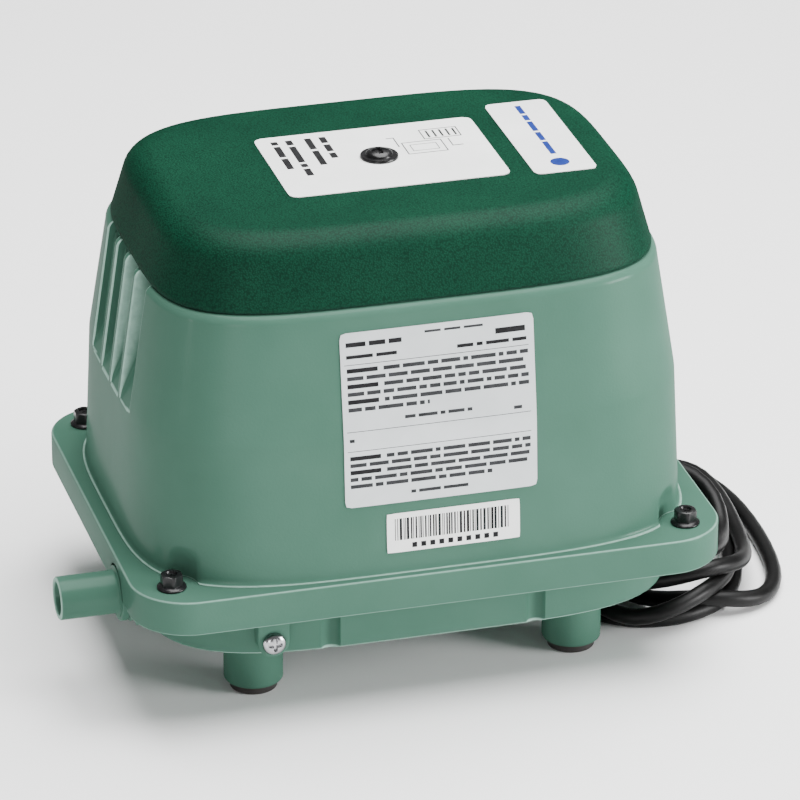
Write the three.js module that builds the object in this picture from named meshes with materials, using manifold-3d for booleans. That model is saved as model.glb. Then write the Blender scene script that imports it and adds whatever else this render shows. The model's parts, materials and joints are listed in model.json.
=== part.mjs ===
// Linear diaphragm air pump for ponds and aquariums, as separate solids.
// Millimetres, +Z up, the front (rating plate side) faces -Y, the outlet leaves towards -X.
// Everything is drawn about the middle of the flange, and the finished group is shifted along X
// so that the pump without its cord stands centred on the origin.
import * as THREE from 'three';
import * as BufferGeometryUtils from 'three/addons/utils/BufferGeometryUtils.js';
import ManifoldModule from 'manifold-3d';

const wasm = await ManifoldModule();
wasm.setup();

// ---------------------------------------------------------------- driving dimensions
const GAP = 0.3;                // clearance between pieces that meet
const SKIN = 0.1;               // clearance under stuck-on labels
const LABEL_THICK = 0.35;
const SQUARENESS = 4.2;         // exponent of the rounded plan outline
const RING_POINTS = 40;

const FLANGE_LENGTH = 263;      // upper housing flange, the widest part
const FLANGE_WIDTH = 201;
const FLANGE_CORNER = 26;
const FLANGE_PLATE = 6.5;       // thickness of the flange plate
const SKIRT_HEIGHT = 15.8;      // flange top to skirt lower edge
const SKIRT_WALL = 3;

const BODY_INSET_X = 8;         // flange edge to body wall at the wall's foot
const BODY_INSET_Y = 4.3;
const LOWER_WALL = 63.7;        // height of the near vertical wall above the flange
const BREAK_INSET_X = 2.5;      // body wall foot to break line
const BREAK_INSET_Y = 3.9;
const UPPER_WALL = 51.5;        // height of the leaning wall from the break to the shoulder
const SHOULDER_INSET_X = 10;    // body wall foot to shoulder
const SHOULDER_INSET_Y = 11.8;
const SHOULDER_RADIUS = 4.7;
const BODY_WALL = 3.5;
const DECK_THICK = 4;

const GROOVE_Y = [[-35, -19], [-15, -2], [2, 15], [19, 35]];
const GROOVE_DROP = 4;          // how far below the break line the scoops start
const GROOVE_DEPTH = 17;        // from the break line in to the groove's floor
const GROOVE_LEAN = 25;         // degrees between the scoop and the vertical

const COLLAR_HEIGHT = 9;        // tray wall that holds the filter
const COLLAR_WALL = 3;
const COVER_LEDGE = 2.4;        // shoulder edge to cover rim
const COVER_HEIGHT = 30.9;
const COVER_LEAN = 15;          // degrees the cover's side leans in
const COVER_ROUND = 14;         // radius from the side to the top
const COVER_WALL = 3;
const COVER_STEPS = 4;

const TUB_INSET = 13;           // flange edge to tub wall
const TUB_DEPTH = 28.5;         // lower housing's top face to the tub's underside
const TUB_WALL = 3.5;
const TANK_SETBACK = 4.5;       // extra wall of the tub below its flange
const TRAY_DEPTH = 6;           // thickness of the lower housing's own flange
const GASKET_THICK = 2.2;
const FLUTE_SPACING = 46;       // two half-round flutes in the tub's front
const FLUTE_RADIUS = 4.5;
const LEG_X = 72.3;
const LEG_Y = 55;
const LEG_DIAMETER = 26;
const LEG_BOTTOM = 4;
const LEG_LENGTH = 25.5;
const FOOT_DIAMETER = 21;
const FOOT_HEIGHT = 8;

const BOLT_INSET_X = 16.8;      // flange edge to bolt
const BOLT_INSET_Y = 17;
const BOLT_SHANK = 5;
const BOLT_FLANGE = 12.6;
const BOLT_HEX = 8.7;           // across the flats
const BOLT_HEAD = 6.5;
const BOLT_POCKET = 11.5;       // radius of the relief in the body wall beside each bolt
const POCKET_RISE = 16.7;       // height of that relief above the flange
const BOLT_LAND = 15.5;         // radius and height of the solid corner behind the relief
const LAND_RISE = 24.7;

const OUTLET_DIAMETER = 19;
const OUTLET_BORE = 14;
const OUTLET_INSET = 50.5;      // front edge of the flange to the outlet's axis
const OUTLET_DROP = 16;         // flange top down to the outlet's axis
const LUG_THICK = 3;            // hook beside the outlet
const LUG_DROP = 8.5;
const OUTLET_REACH = 26;        // how far the pipe stands out of the skirt

const GROUND_SCREW_X = -72;     // earthing screw on a pad of the tub's front wall
const GROUND_SCREW_DROP = 13.5;
const GROUND_PAD_RADIUS = 7;
const GROUND_PAD_STANDOUT = 3;
const GROUND_SHANK = 4;
const GROUND_HEAD = 10.2;

const SCREW_HEAD = 16.6;
const SCREW_SHANK = 5;
const SCREW_HEAD_HEIGHT = 3.6;
const BOSS_DIAMETER = 15;

const PLATE_X0 = -41;           // rating plate on the front wall
const PLATE_WIDE = 85;
const PLATE_RISE = 32.7;        // flange to the plate's lower edge
const PLATE_MARGIN = 5;         // plate's upper edge to the shoulder
const BARCODE_X0 = -23;
const BARCODE_WIDE = 59;
const BARCODE_TALL = 18;
const BARCODE_RISE = 9.7;
const COVER_BORDER = 19;        // cover rim to the flat part of its top
const STICKER_WIDE = 28;

const STROKE = 2.5;             // armature travel each way
const HEAD_CLEARANCE = 6.6;     // lid of the pump head to the housing's inner face
const BLOCK_DEPTH = 14;
const BLOCK_DIAMETER = 84;
const CHAMBER_DIAMETER = 60;
const DIAPHRAGM_THICK = 2;
const HEAD_DEPTH = 22;
const LID_THICK = 3;
const CHAMBER_DEPTH = 9.4;
const HOSE_RADIUS = 5.6;
const ROD_DIAMETER = 8;
const TANK_PLATE = 3;
const MOUNT_HEIGHT = 14.7;      // top of the tank plate to the underside of the pump frame
const BASE_THICK = 5;
const FRAME_HALF_WIDE = 46;     // middle of the pump to the frame's edge
const CENTRE_PLATE_RADIUS = 17; // steel plates that clamp the diaphragm's middle
const CENTRE_PLATE_THICK = 2;
const NUT_RADIUS = 7.2;
const NUT_THICK = 3.4;
const MAGNET_X = 13;            // middle of the armature to a magnet's middle
const CORE_HALF_LONG = 38;
const CORE_HALF_TALL = 16;
const CORE_BACK = 46;           // middle of the armature to the back of a core
const CORE_YOKE = 10;
const CORE_LEG_X = 31;
const CORE_LEG_HALF = 7;
const CORE_FACE = 7.5;          // middle of the armature to a core's pole face
const WINDING_HALF_LONG = 14;
const WINDING_HALF_TALL = 24;
const VALVE_WALL = 3;           // wall of the pump head that carries the flap valves
const VALVE_Y = 12;
const VALVE_RISE = 15;
const PORT_RADIUS = 5;
const FLAP_HALF = 6.8;
const FLAP_THICK = 0.8;
const HOSE_BORE_RADIUS = 3.5;
const ELBOW_SETBACK = 6;        // head's outer face to the hose's axis

const CORD_DIAMETER = 7.5;
const CORD_SIDES = 10;
const GLAND_Y = 24;
const GLAND_DROP = 11;          // underside of the lower housing's flange to the cord's axis
const GLAND_REACH = 22;
const COIL_X = 134;             // the coil of spare cord, lying on the floor beside the pump
const COIL_Y = 21;
const COIL_WIDE = 50;           // half width and half length of its outline
const COIL_LONG = 82;
const COIL_BAND = 22;           // width of the band of turns
const COIL_LEAN = 3;            // degrees clockwise from the pump's width
const COIL_HEIGHT = 27.5;
const COIL_POINTS = 28;

// ---------------------------------------------------------------- derived sizes
const flangeX = FLANGE_LENGTH / 2;
const flangeY = FLANGE_WIDTH / 2;
const tubBottom = LEG_BOTTOM + LEG_LENGTH;
const trayTop = tubBottom + TUB_DEPTH;
const trayBottom = trayTop - TRAY_DEPTH;
const gasketBottom = trayTop + GAP;
const gasketTop = gasketBottom + GASKET_THICK;
const flangeUnder = gasketTop + GAP;
const flangeTop = flangeUnder + FLANGE_PLATE;
const skirtBottom = flangeTop - SKIRT_HEIGHT;
const breakZ = flangeTop + LOWER_WALL;
const shoulderZ = breakZ + UPPER_WALL;
const grooveFootZ = breakZ - GROOVE_DROP;
const footX = flangeX - BODY_INSET_X;
const footY = flangeY - BODY_INSET_Y;
const breakX = footX - BREAK_INSET_X;
const breakY = footY - BREAK_INSET_Y;
const shoulderX = footX - SHOULDER_INSET_X;
const shoulderY = footY - SHOULDER_INSET_Y;
const deckTop = shoulderZ + SHOULDER_RADIUS;
const deckBottom = deckTop - DECK_THICK;
const grooveFloorX = breakX - GROOVE_DEPTH;
const collarX = grooveFloorX - 2;
const collarY = shoulderY - COVER_LEDGE - COVER_WALL - 6.6;
const coverRimX = shoulderX - COVER_LEDGE + 0.4;
const coverRimY = shoulderY - COVER_LEDGE;
const coverFlatY = coverRimY - COVER_BORDER;
const coverBottom = deckTop + GAP;
const coverTop = coverBottom + COVER_HEIGHT;
const tubX = flangeX - TUB_INSET;
const tubY = flangeY - TUB_INSET + 0.5;
const trayX = flangeX - SKIRT_WALL - GAP * 2;
const trayY = flangeY - SKIRT_WALL - GAP * 2;
const boltX = flangeX - BOLT_INSET_X;
const boltY = flangeY - BOLT_INSET_Y;
const outletY = OUTLET_INSET - flangeY;
const outletZ = flangeTop - OUTLET_DROP;
const groundZ = trayBottom - GROUND_SCREW_DROP;
const groundFaceY = -tubY - GROUND_PAD_STANDOUT;
const glandZ = trayBottom - GLAND_DROP;
const outletEnd = -flangeX - OUTLET_REACH;
const centring = OUTLET_REACH / 2;
const headStack = 3 * GAP + DIAPHRAGM_THICK + HEAD_DEPTH + LID_THICK;
const blockFace = grooveFloorX - BODY_WALL - HEAD_CLEARANCE - headStack;
const blockX = blockFace - BLOCK_DEPTH;
const tankPlateTop = trayBottom + GAP + TANK_PLATE;
const baseZ = tankPlateTop + MOUNT_HEIGHT;
const coreZ = baseZ + BLOCK_DIAMETER / 2;
const headNear = blockFace + 2 * GAP + DIAPHRAGM_THICK;
const valvePlateX = headNear + CHAMBER_DEPTH;
const suctionZ = coreZ + VALVE_RISE;
const dischargeZ = coreZ - VALVE_RISE;
const suctionFlapX = valvePlateX - GAP - FLAP_THICK;
const dischargeFlapX = valvePlateX + VALVE_WALL + GAP;
const elbowX = headNear + HEAD_DEPTH - ELBOW_SETBACK;

// ---------------------------------------------------------------- finishes
const finish = (color, roughness, metalness = 0) =>
  new THREE.MeshStandardMaterial({ color, roughness, metalness });
const PAINT = finish(0x7fa394, 0.42, 0.1);
const COVER_PLASTIC = finish(0x14573c, 0.6);
const BLACK_STEEL = finish(0x17171a, 0.4, 0.5);
const RUBBER = finish(0x1c1a19, 0.85);
const CHROME = finish(0xc9ccce, 0.15, 1);
const PLATE = finish(0xb9bfc2, 0.4, 0.5);
const PAPER = finish(0xdfe1e0, 0.6);
const FOAM = finish(0x3a3d3f, 0.95);
const ALUMINIUM = finish(0xa9adb0, 0.45, 0.9);
const LAMINATION = finish(0x6a6d70, 0.5, 0.8);
const COPPER = finish(0xa8643a, 0.4, 0.7);
const MAGNET = finish(0x4c4f52, 0.35, 0.8);
const NYLON = finish(0x2a2c2f, 0.55);

// ---------------------------------------------------------------- solid helpers
const toSolid = (geometry) => {
  const bare = geometry.index ? geometry.toNonIndexed() : geometry.clone();
  bare.deleteAttribute('normal');
  bare.deleteAttribute('uv');
  const merged = BufferGeometryUtils.mergeVertices(bare, 1e-4);
  return new wasm.Manifold(new wasm.Mesh({
    numProp: 3,
    vertProperties: new Float32Array(merged.attributes.position.array),
    triVerts: new Uint32Array(merged.index.array),
  }));
};

const toGeometry = (solid) => {
  const mesh = solid.getMesh();
  const geometry = new THREE.BufferGeometry();
  geometry.setAttribute('position', new THREE.BufferAttribute(mesh.vertProperties, 3));
  geometry.setIndex(new THREE.BufferAttribute(mesh.triVerts, 1));
  geometry.computeVertexNormals();
  return geometry;
};

const pump = new THREE.Group();
pump.position.x = centring;

const place = (name, solid, material) => {
  const mesh = new THREE.Mesh(toGeometry(solid), material);
  mesh.name = name;
  pump.add(mesh);
};

const box = (x0, x1, y0, y1, z0, z1) => {
  const geometry = new THREE.BoxGeometry(x1 - x0, y1 - y0, z1 - z0);
  geometry.translate((x0 + x1) / 2, (y0 + y1) / 2, (z0 + z1) / 2);
  return toSolid(geometry);
};

// a cylinder or cone standing along Z
const post = (x, y, z0, z1, radius, topRadius = radius, sides = 16) => {
  const geometry = new THREE.CylinderGeometry(topRadius, radius, z1 - z0, sides);
  geometry.rotateX(Math.PI / 2);
  geometry.translate(x, y, (z0 + z1) / 2);
  return toSolid(geometry);
};

// a cylinder lying along X
const bar = (x0, x1, y, z, radius, sides = 20, endRadius = radius) => {
  const geometry = new THREE.CylinderGeometry(endRadius, radius, x1 - x0, sides);
  geometry.rotateZ(-Math.PI / 2);
  geometry.translate((x0 + x1) / 2, y, z);
  return toSolid(geometry);
};

// a cylinder or cone lying along Y
const frontPost = (x, y0, y1, z, radius, endRadius = radius) =>
  post(0, 0, 0, y1 - y0, radius, endRadius).rotate([-90, 0, 0]).translate([x, y0, z]);

// a plan outline whose sides bulge slightly and whose corners are broad
const softOutline = (halfX, halfY) => {
  const points = [];
  for (let i = 0; i < RING_POINTS; i += 1) {
    const turn = (i / RING_POINTS) * 2 * Math.PI;
    const u = Math.abs(Math.cos(turn)) ** (2 / 3.1) * Math.sign(Math.cos(turn));
    const v = Math.abs(Math.sin(turn)) ** (2 / 3.1) * Math.sign(Math.sin(turn));
    const size = (Math.abs(u) ** SQUARENESS + Math.abs(v) ** SQUARENESS) ** (1 / SQUARENESS);
    points.push([halfX * u / size, halfY * v / size]);
  }
  return points;
};

const roundRectShape = (halfX, halfY, radius) => {
  const shape = new THREE.Shape();
  shape.absarc(halfX - radius, halfY - radius, radius, 0, Math.PI / 2);
  shape.absarc(-halfX + radius, halfY - radius, radius, Math.PI / 2, Math.PI);
  shape.absarc(-halfX + radius, -halfY + radius, radius, Math.PI, 1.5 * Math.PI);
  shape.absarc(halfX - radius, -halfY + radius, radius, 1.5 * Math.PI, 2 * Math.PI);
  return shape;
};

// a flat plate with the given outline between two heights
const slab = (shape, z0, z1, curveSegments = 6) => {
  const settings = { depth: z1 - z0, bevelEnabled: false, curveSegments };
  return toSolid(new THREE.ExtrudeGeometry(shape, settings).translate(0, 0, z0));
};
const roundSlab = (halfX, halfY, radius, z0, z1) => slab(roundRectShape(halfX, halfY, radius), z0, z1);
const roundSlabAt = (x, y, halfX, halfY, radius, z0, z1) =>
  roundSlab(halfX, halfY, radius, z0, z1).translate([x, y, 0]);

// a closed body through outlines at rising heights: rows of [height, half length, half width]
const loft = (rows) => {
  const positions = [];
  rows.forEach(([z, halfX, halfY]) => {
    softOutline(halfX, halfY).forEach(([x, y]) => positions.push(x, y, z));
  });
  const n = RING_POINTS;
  const top = (rows.length - 1) * n;
  positions.push(0, 0, rows[0][0], 0, 0, rows[rows.length - 1][0]);
  const index = [];
  for (let level = 0; level < rows.length - 1; level += 1) {
    for (let i = 0; i < n; i += 1) {
      const a = level * n + i;
      const b = level * n + (i + 1) % n;
      index.push(a, b, b + n, a, b + n, a + n);
    }
  }
  for (let i = 0; i < n; i += 1) {
    index.push((i + 1) % n, i, rows.length * n);
    index.push(top + i, top + (i + 1) % n, rows.length * n + 1);
  }
  const geometry = new THREE.BufferGeometry();
  geometry.setAttribute('position', new THREE.Float32BufferAttribute(positions, 3));
  geometry.setIndex(index);
  return toSolid(geometry);
};

const bolts = [[-1, -1], [1, -1], [1, 1], [-1, 1]];
const joinAll = (solids) => solids.reduce((sum, piece) => sum.add(piece));
const atBolts = (make) => joinAll(bolts.map(([sx, sy]) => make(sx * boltX, sy * boltY)));
const atLegs = (make) => joinAll(bolts.map(([sx, sy]) => make(sx * LEG_X, sy * LEG_Y)));

// ---------------------------------------------------------------- upper housing
const bodyRows = (grow, foot = flangeTop - 1) => [
  [foot, footX + grow, footY + grow],
  [breakZ, breakX + grow, breakY + grow],
  [shoulderZ, shoulderX + grow, shoulderY + grow],
];

const shoulderRows = () => [30, 60, 90].map((degrees) => {
  const angle = degrees * Math.PI / 180;
  const inset = SHOULDER_RADIUS * (1 - Math.cos(angle));
  return [shoulderZ + SHOULDER_RADIUS * Math.sin(angle), shoulderX - inset, shoulderY - inset];
});

// one scoop and its straight run up past the deck, at the end on the given side
const grooveCutter = (side, y0, y1) => {
  const slope = Math.tan(GROOVE_LEAN * Math.PI / 180);
  const outX = flangeX + 5;
  const footOut = grooveFootZ - (outX - breakX) / slope;
  const profile = new THREE.Shape([
    new THREE.Vector2(outX, footOut),
    new THREE.Vector2(outX, deckTop + COLLAR_HEIGHT),
    new THREE.Vector2(grooveFloorX, deckTop + COLLAR_HEIGHT),
    new THREE.Vector2(grooveFloorX, grooveFootZ + GROOVE_DEPTH / slope),
  ]);
  const geometry = new THREE.ExtrudeGeometry(profile, { depth: y1 - y0, bevelEnabled: false });
  geometry.rotateX(Math.PI / 2);
  geometry.translate(0, y1, 0);
  const cutter = toSolid(geometry);
  return side > 0 ? cutter : cutter.rotate([0, 0, 180]);
};

const grooveCutters = joinAll([-1, 1].flatMap(
  (side) => GROOVE_Y.map(([y0, y1]) => grooveCutter(side, y0, y1))));

// material kept behind the grooves so that the end walls stay closed
const grooveBacking = () => {
  const reach = GROOVE_Y[GROOVE_Y.length - 1][1] + BODY_WALL;
  return joinAll([-1, 1].map((side) => {
    const inner = side * (grooveFloorX - BODY_WALL);
    const outer = side * (breakX - 1);
    return box(Math.min(inner, outer), Math.max(inner, outer), -reach, reach,
      grooveFootZ - BODY_WALL * 2, deckTop - 1);
  }));
};

const makeUpperHousing = () => {
  const flangeTopHalf = roundSlab(flangeX, flangeY, FLANGE_CORNER, skirtBottom, flangeTop);
  const outer = flangeTopHalf.add(loft([...bodyRows(0), ...shoulderRows()]));
  const underFlange = roundSlab(flangeX - SKIRT_WALL, flangeY - SKIRT_WALL,
    FLANGE_CORNER - SKIRT_WALL, skirtBottom - 1, flangeUnder);
  const hollow = loft([
    [flangeUnder - 1, footX - BODY_WALL, footY - BODY_WALL],
    [breakZ, breakX - BODY_WALL, breakY - BODY_WALL],
    [deckBottom, shoulderX - BODY_WALL, shoulderY - BODY_WALL],
  ]);
  const boltLands = atBolts((x, y) => post(x, y, flangeUnder, flangeTop + LAND_RISE, BOLT_LAND));
  const keep = boltLands.add(grooveBacking());
  const collar = loft([[deckTop - 1, collarX, collarY], [deckTop + COLLAR_HEIGHT, collarX, collarY]])
    .subtract(loft([[deckTop - 2, collarX - COLLAR_WALL, collarY - COLLAR_WALL],
      [deckTop + COLLAR_HEIGHT + 1, collarX - COLLAR_WALL, collarY - COLLAR_WALL]]));
  const boss = post(0, 0, deckTop - 1, coverTop - COVER_WALL - 8, BOSS_DIAMETER / 2, BOSS_DIAMETER / 2 - 1);
  const intake = [-1, 1].map((side) => roundSlabAt(side * 46, 0, 24, 17, 6, deckBottom - 1, deckTop + 1));
  const outletLobe = bar(-flangeX, -flangeX + SKIRT_WALL, outletY, outletZ, OUTLET_DIAMETER / 2 + 3.5);
  return outer.add(collar).add(boss).add(outletLobe)
    .subtract(underFlange)
    .subtract(hollow.subtract(keep))
    .subtract(grooveCutters)
    .subtract(joinAll(intake))
    .subtract(post(0, 0, deckTop - 1, coverTop, SCREW_SHANK / 2 + GAP))
    .subtract(atBolts((x, y) => post(x, y, flangeTop, flangeTop + POCKET_RISE,
      BOLT_POCKET, BOLT_POCKET - 0.8)))
    .subtract(atBolts((x, y) => post(x, y, skirtBottom, flangeTop + 1, BOLT_SHANK / 2 + GAP)))
    .subtract(outletArch);
};

// ---------------------------------------------------------------- lower housing
const makeOutletBoss = (grow) =>
  bar(-trayX, -tubX + 8 + grow, outletY, outletZ, OUTLET_DIAMETER / 2 + 4 + grow);

const makeLowerHousing = () => {
  const tub = loft([
    [tubBottom, tubX - 2.2, tubY - 2.2],
    [tubBottom + 2.5, tubX - 0.4, tubY - 0.4],
    [trayBottom + 1, tubX, tubY],
  ]);
  const tray = roundSlab(trayX, trayY, FLANGE_CORNER - SKIRT_WALL - GAP * 2, trayBottom, trayTop);
  const legs = atLegs((x, y) => post(x, y, LEG_BOTTOM + 1.5, tubBottom + 3, LEG_DIAMETER / 2)
    .add(post(x, y, LEG_BOTTOM, LEG_BOTTOM + 1.5, LEG_DIAMETER / 2 - 1.5, LEG_DIAMETER / 2)));
  const footSockets = atLegs((x, y) => post(x, y, LEG_BOTTOM - 1, FOOT_HEIGHT + GAP, FOOT_DIAMETER / 2 + GAP));
  const outletBoss = makeOutletBoss(0)
    .intersect(box(-flangeX, 0, -tubY, 0, tubBottom, trayTop));
  const lugY = outletY - OUTLET_DIAMETER / 2 - 6.5;
  const outletLug = box(-trayX + 1, -tubX + 4, lugY - LUG_THICK, lugY, trayBottom - LUG_DROP, trayBottom + 1);
  const padSides = box(GROUND_SCREW_X - GROUND_PAD_RADIUS, GROUND_SCREW_X + GROUND_PAD_RADIUS,
    groundFaceY, -tubY + 4, groundZ, trayBottom);
  const padEnd = frontPost(GROUND_SCREW_X, groundFaceY, -tubY + 4, groundZ, GROUND_PAD_RADIUS);
  const groundPad = padSides.add(padEnd);
  const groundHole = frontPost(GROUND_SCREW_X, groundFaceY - 1, -tubY + 6, groundZ, GROUND_SHANK / 2 + GAP);
  const frontGrooves = joinAll([-FLUTE_SPACING, FLUTE_SPACING].map(
    (x) => post(x, -tubY - 1, tubBottom - 1, skirtBottom - 1, FLUTE_RADIUS)));
  const tank = loft([
    [tubBottom + TUB_WALL, tubX - TUB_WALL - TANK_SETBACK, tubY - TUB_WALL - TANK_SETBACK],
    [trayBottom, tubX - TUB_WALL - TANK_SETBACK, tubY - TUB_WALL - TANK_SETBACK],
    [trayBottom + 0.01, tubX - TUB_WALL, tubY - TUB_WALL],
    [trayTop + 1, tubX - TUB_WALL, tubY - TUB_WALL],
  ]);
  const screwLands = atLegs((x, y) => post(x, y, tubBottom + 2, tubBottom + TUB_WALL + 2, 9));
  const glandHole = bar(tubX - 14, tubX + 2, GLAND_Y, glandZ, 6 + GAP);
  return tub.add(tray).add(legs).add(outletBoss).add(outletLug).add(groundPad)
    .subtract(tank.subtract(outletBoss).subtract(screwLands))
    .subtract(frontGrooves)
    .subtract(footSockets)
    .subtract(outletArch)
    .subtract(groundHole)
    .subtract(glandHole)
    .subtract(atBolts((x, y) => post(x, y, trayBottom - 1, trayTop + 1, BOLT_SHANK / 2 + GAP)));
};

const makeOutletPipe = () => {
  const inner = -tubX + 6;
  return bar(outletEnd, inner, outletY, outletZ, OUTLET_DIAMETER / 2)
    .subtract(bar(outletEnd - 1, inner + 1, outletY, outletZ, OUTLET_BORE / 2));
};

// the arch that the outlet pipe passes through, between the two halves
const outletArch = bar(-flangeX - 2, -tubX + 12, outletY, outletZ, OUTLET_DIAMETER / 2 + GAP);

const makeGasket = () => roundSlab(trayX, trayY, FLANGE_CORNER - SKIRT_WALL - GAP * 2, gasketBottom, gasketTop)
  .subtract(loft([[gasketBottom - 1, tubX - 1, tubY - 1], [gasketTop + 1, tubX - 1, tubY - 1]]))
  .subtract(outletArch)
  .subtract(atBolts((x, y) => post(x, y, gasketBottom - 1, gasketTop + 1, BOLT_SHANK / 2 + GAP)));

const makeFoot = (x, y) => post(x, y, 0, 1, FOOT_DIAMETER / 2 - 0.8, FOOT_DIAMETER / 2)
  .add(post(x, y, 1, FOOT_HEIGHT, FOOT_DIAMETER / 2));

// ---------------------------------------------------------------- fasteners
const makeFlangeBolt = (x, y) => {
  const seat = flangeTop + GAP;
  const head = post(x, y, seat, seat + 1.4, BOLT_FLANGE / 2)
    .add(post(x, y, seat + 1.3, seat + BOLT_HEAD, BOLT_HEX / Math.sqrt(3), BOLT_HEX / Math.sqrt(3), 6));
  const recess = box(x - 2.6, x + 2.6, y - 0.6, y + 0.6, seat + BOLT_HEAD - 2, seat + BOLT_HEAD + 1)
    .add(box(x - 0.6, x + 0.6, y - 2.6, y + 2.6, seat + BOLT_HEAD - 2, seat + BOLT_HEAD + 1));
  return head.subtract(recess).add(post(x, y, trayBottom + 1, seat + 0.5, BOLT_SHANK / 2));
};

const makeGroundScrew = () => {
  const x = GROUND_SCREW_X;
  const seatY = groundFaceY - GAP;
  const dome = frontPost(x, seatY - 3, seatY - 1.4, groundZ, GROUND_HEAD / 3, GROUND_HEAD / 2);
  const brim = frontPost(x, seatY - 1.4, seatY, groundZ, GROUND_HEAD / 2);
  const crossY = [seatY - 5, seatY - 1.8];
  const cross = box(x - 2.4, x + 2.4, ...crossY, groundZ - 0.55, groundZ + 0.55)
    .add(box(x - 0.55, x + 0.55, ...crossY, groundZ - 2.4, groundZ + 2.4));
  const shank = frontPost(x, seatY - 0.5, groundFaceY + 7, groundZ, GROUND_SHANK / 2);
  return dome.add(brim).subtract(cross).add(shank);
};

const screwSeat = coverTop + LABEL_THICK + SKIN + 0.1;
const makeCoverScrew = () => {
  const brim = post(0, 0, screwSeat, screwSeat + 1.1, SCREW_HEAD / 2);
  const dome = post(0, 0, screwSeat + 1, screwSeat + SCREW_HEAD_HEIGHT, 5.6, 3.6);
  const cross = box(-3, 3, -0.6, 0.6, screwSeat + 2.1, screwSeat + 6)
    .add(box(-0.6, 0.6, -3, 3, screwSeat + 2.1, screwSeat + 6));
  return brim.add(dome).subtract(cross).add(post(0, 0, deckTop + 3, screwSeat + 0.5, SCREW_SHANK / 2));
};
const makeScrewWasher = () => post(0, 0, coverTop - 1.1, coverTop + 0.2, 6.4)
  .subtract(post(0, 0, coverTop - 2, coverTop + 2, SCREW_SHANK / 2 + GAP));

// ---------------------------------------------------------------- filter cover and filter
const coverRows = (grow, bottom = coverBottom) => {
  const lean = Math.tan(COVER_LEAN * Math.PI / 180);
  const leanAngle = COVER_LEAN * Math.PI / 180;
  const arcBase = coverTop - COVER_ROUND * (1 - Math.sin(leanAngle));
  const rows = [[bottom, coverRimX + grow, coverRimY + grow]];
  const sideInset = (arcBase - coverBottom) * lean;
  const radius = COVER_ROUND + grow;
  for (let step = 0; step <= COVER_STEPS; step += 1) {
    const angle = leanAngle + (Math.PI / 2 - leanAngle) * (step / COVER_STEPS);
    const inset = COVER_ROUND * Math.cos(leanAngle) - radius * Math.cos(angle);
    const z = coverTop - COVER_ROUND + radius * Math.sin(angle);
    rows.push([z, coverRimX - sideInset - inset, coverRimY - sideInset - inset]);
  }
  return rows;
};

const makeFilterCover = () => {
  const boss = post(0, 0, coverTop - COVER_WALL - 7.5, coverTop - 1, BOSS_DIAMETER / 2 - 1);
  const hollow = loft(coverRows(-COVER_WALL, coverBottom - 1));
  return loft(coverRows(0))
    .subtract(hollow.subtract(boss))
    .subtract(post(0, 0, coverTop - 20, coverTop + 1, SCREW_SHANK / 2 + GAP))
    .subtract(post(0, 0, coverTop - 1.4, coverTop + 1, 6.7));
};

const makeFilterElement = () => {
  const halfX = collarX - COLLAR_WALL - GAP * 2;
  const halfY = collarY - COLLAR_WALL - GAP * 2;
  return loft([[deckTop + GAP, halfX, halfY], [deckTop + 12, halfX, halfY]])
    .subtract(post(0, 0, deckTop - 1, deckTop + 14, BOSS_DIAMETER / 2 + 1));
};

// ---------------------------------------------------------------- labels that follow the surface
const frontPatch = (outer, inner, x0, x1, z0, z1, radius) => {
  const shape = roundRectShape((x1 - x0) / 2, (z1 - z0) / 2, radius);
  const prism = slab(shape, 0, 30, 3).rotate([90, 0, 0])
    .translate([(x0 + x1) / 2, -shoulderY + 8, (z0 + z1) / 2]);
  return prism.intersect(outer).subtract(inner);
};
const labelOuter = loft(bodyRows(SKIN + LABEL_THICK));
const labelInner = loft(bodyRows(SKIN));
const makeRatingPlate = () => frontPatch(labelOuter, labelInner, PLATE_X0, PLATE_X0 + PLATE_WIDE,
  flangeTop + PLATE_RISE, shoulderZ - PLATE_MARGIN, 2);
const makeBarcodeLabel = () => frontPatch(labelOuter, labelInner, BARCODE_X0, BARCODE_X0 + BARCODE_WIDE,
  flangeTop + BARCODE_RISE, flangeTop + BARCODE_RISE + BARCODE_TALL, 0.6);
const topPatch = (x0, x1, y0, y1, radius) => {
  const shape = roundRectShape((x1 - x0) / 2, (y1 - y0) / 2, radius);
  const prism = slab(shape, coverTop - 12, coverTop + 3, 3).translate([(x0 + x1) / 2, (y0 + y1) / 2, 0]);
  return prism.intersect(loft(coverRows(SKIN + LABEL_THICK))).subtract(loft(coverRows(SKIN)));
};
const stickerX1 = coverRimX - COVER_BORDER - 5;
const stickerX0 = stickerX1 - STICKER_WIDE;
const makeServiceLabel = () => topPatch(-stickerX1 + 39.5, stickerX0 - 9.5, -coverFlatY + 30, coverFlatY - 30, 4)
  .subtract(post(0, 0, coverTop - 1, coverTop + 2, SCREW_HEAD / 2 - 1.2));
const makeTopSticker = () => topPatch(stickerX0, stickerX1, -coverFlatY + 26.4, coverFlatY - 19.4, 3);

// ---------------------------------------------------------------- pump unit inside
const makeTankPlate = () => {
  const halfX = tubX - TUB_WALL - GAP * 2;
  const halfY = tubY - TUB_WALL - GAP * 2;
  const z0 = tankPlateTop - TANK_PLATE;
  const ports = joinAll([-1, 1].map((side) => post(side * elbowX, 0, z0 - 1, z0 + 4, HOSE_RADIUS + GAP)));
  return loft([[z0, halfX, halfY], [tankPlateTop, halfX, halfY]]).subtract(ports).subtract(makeOutletBoss(GAP));
};

const mountSpots = bolts.map(([sx, sy]) => [sx * (blockX + 4), sy * 36]);
const makeRubberMount = (x, y) => post(x, y, tankPlateTop + GAP, baseZ - GAP, 8, 6.5);

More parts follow.
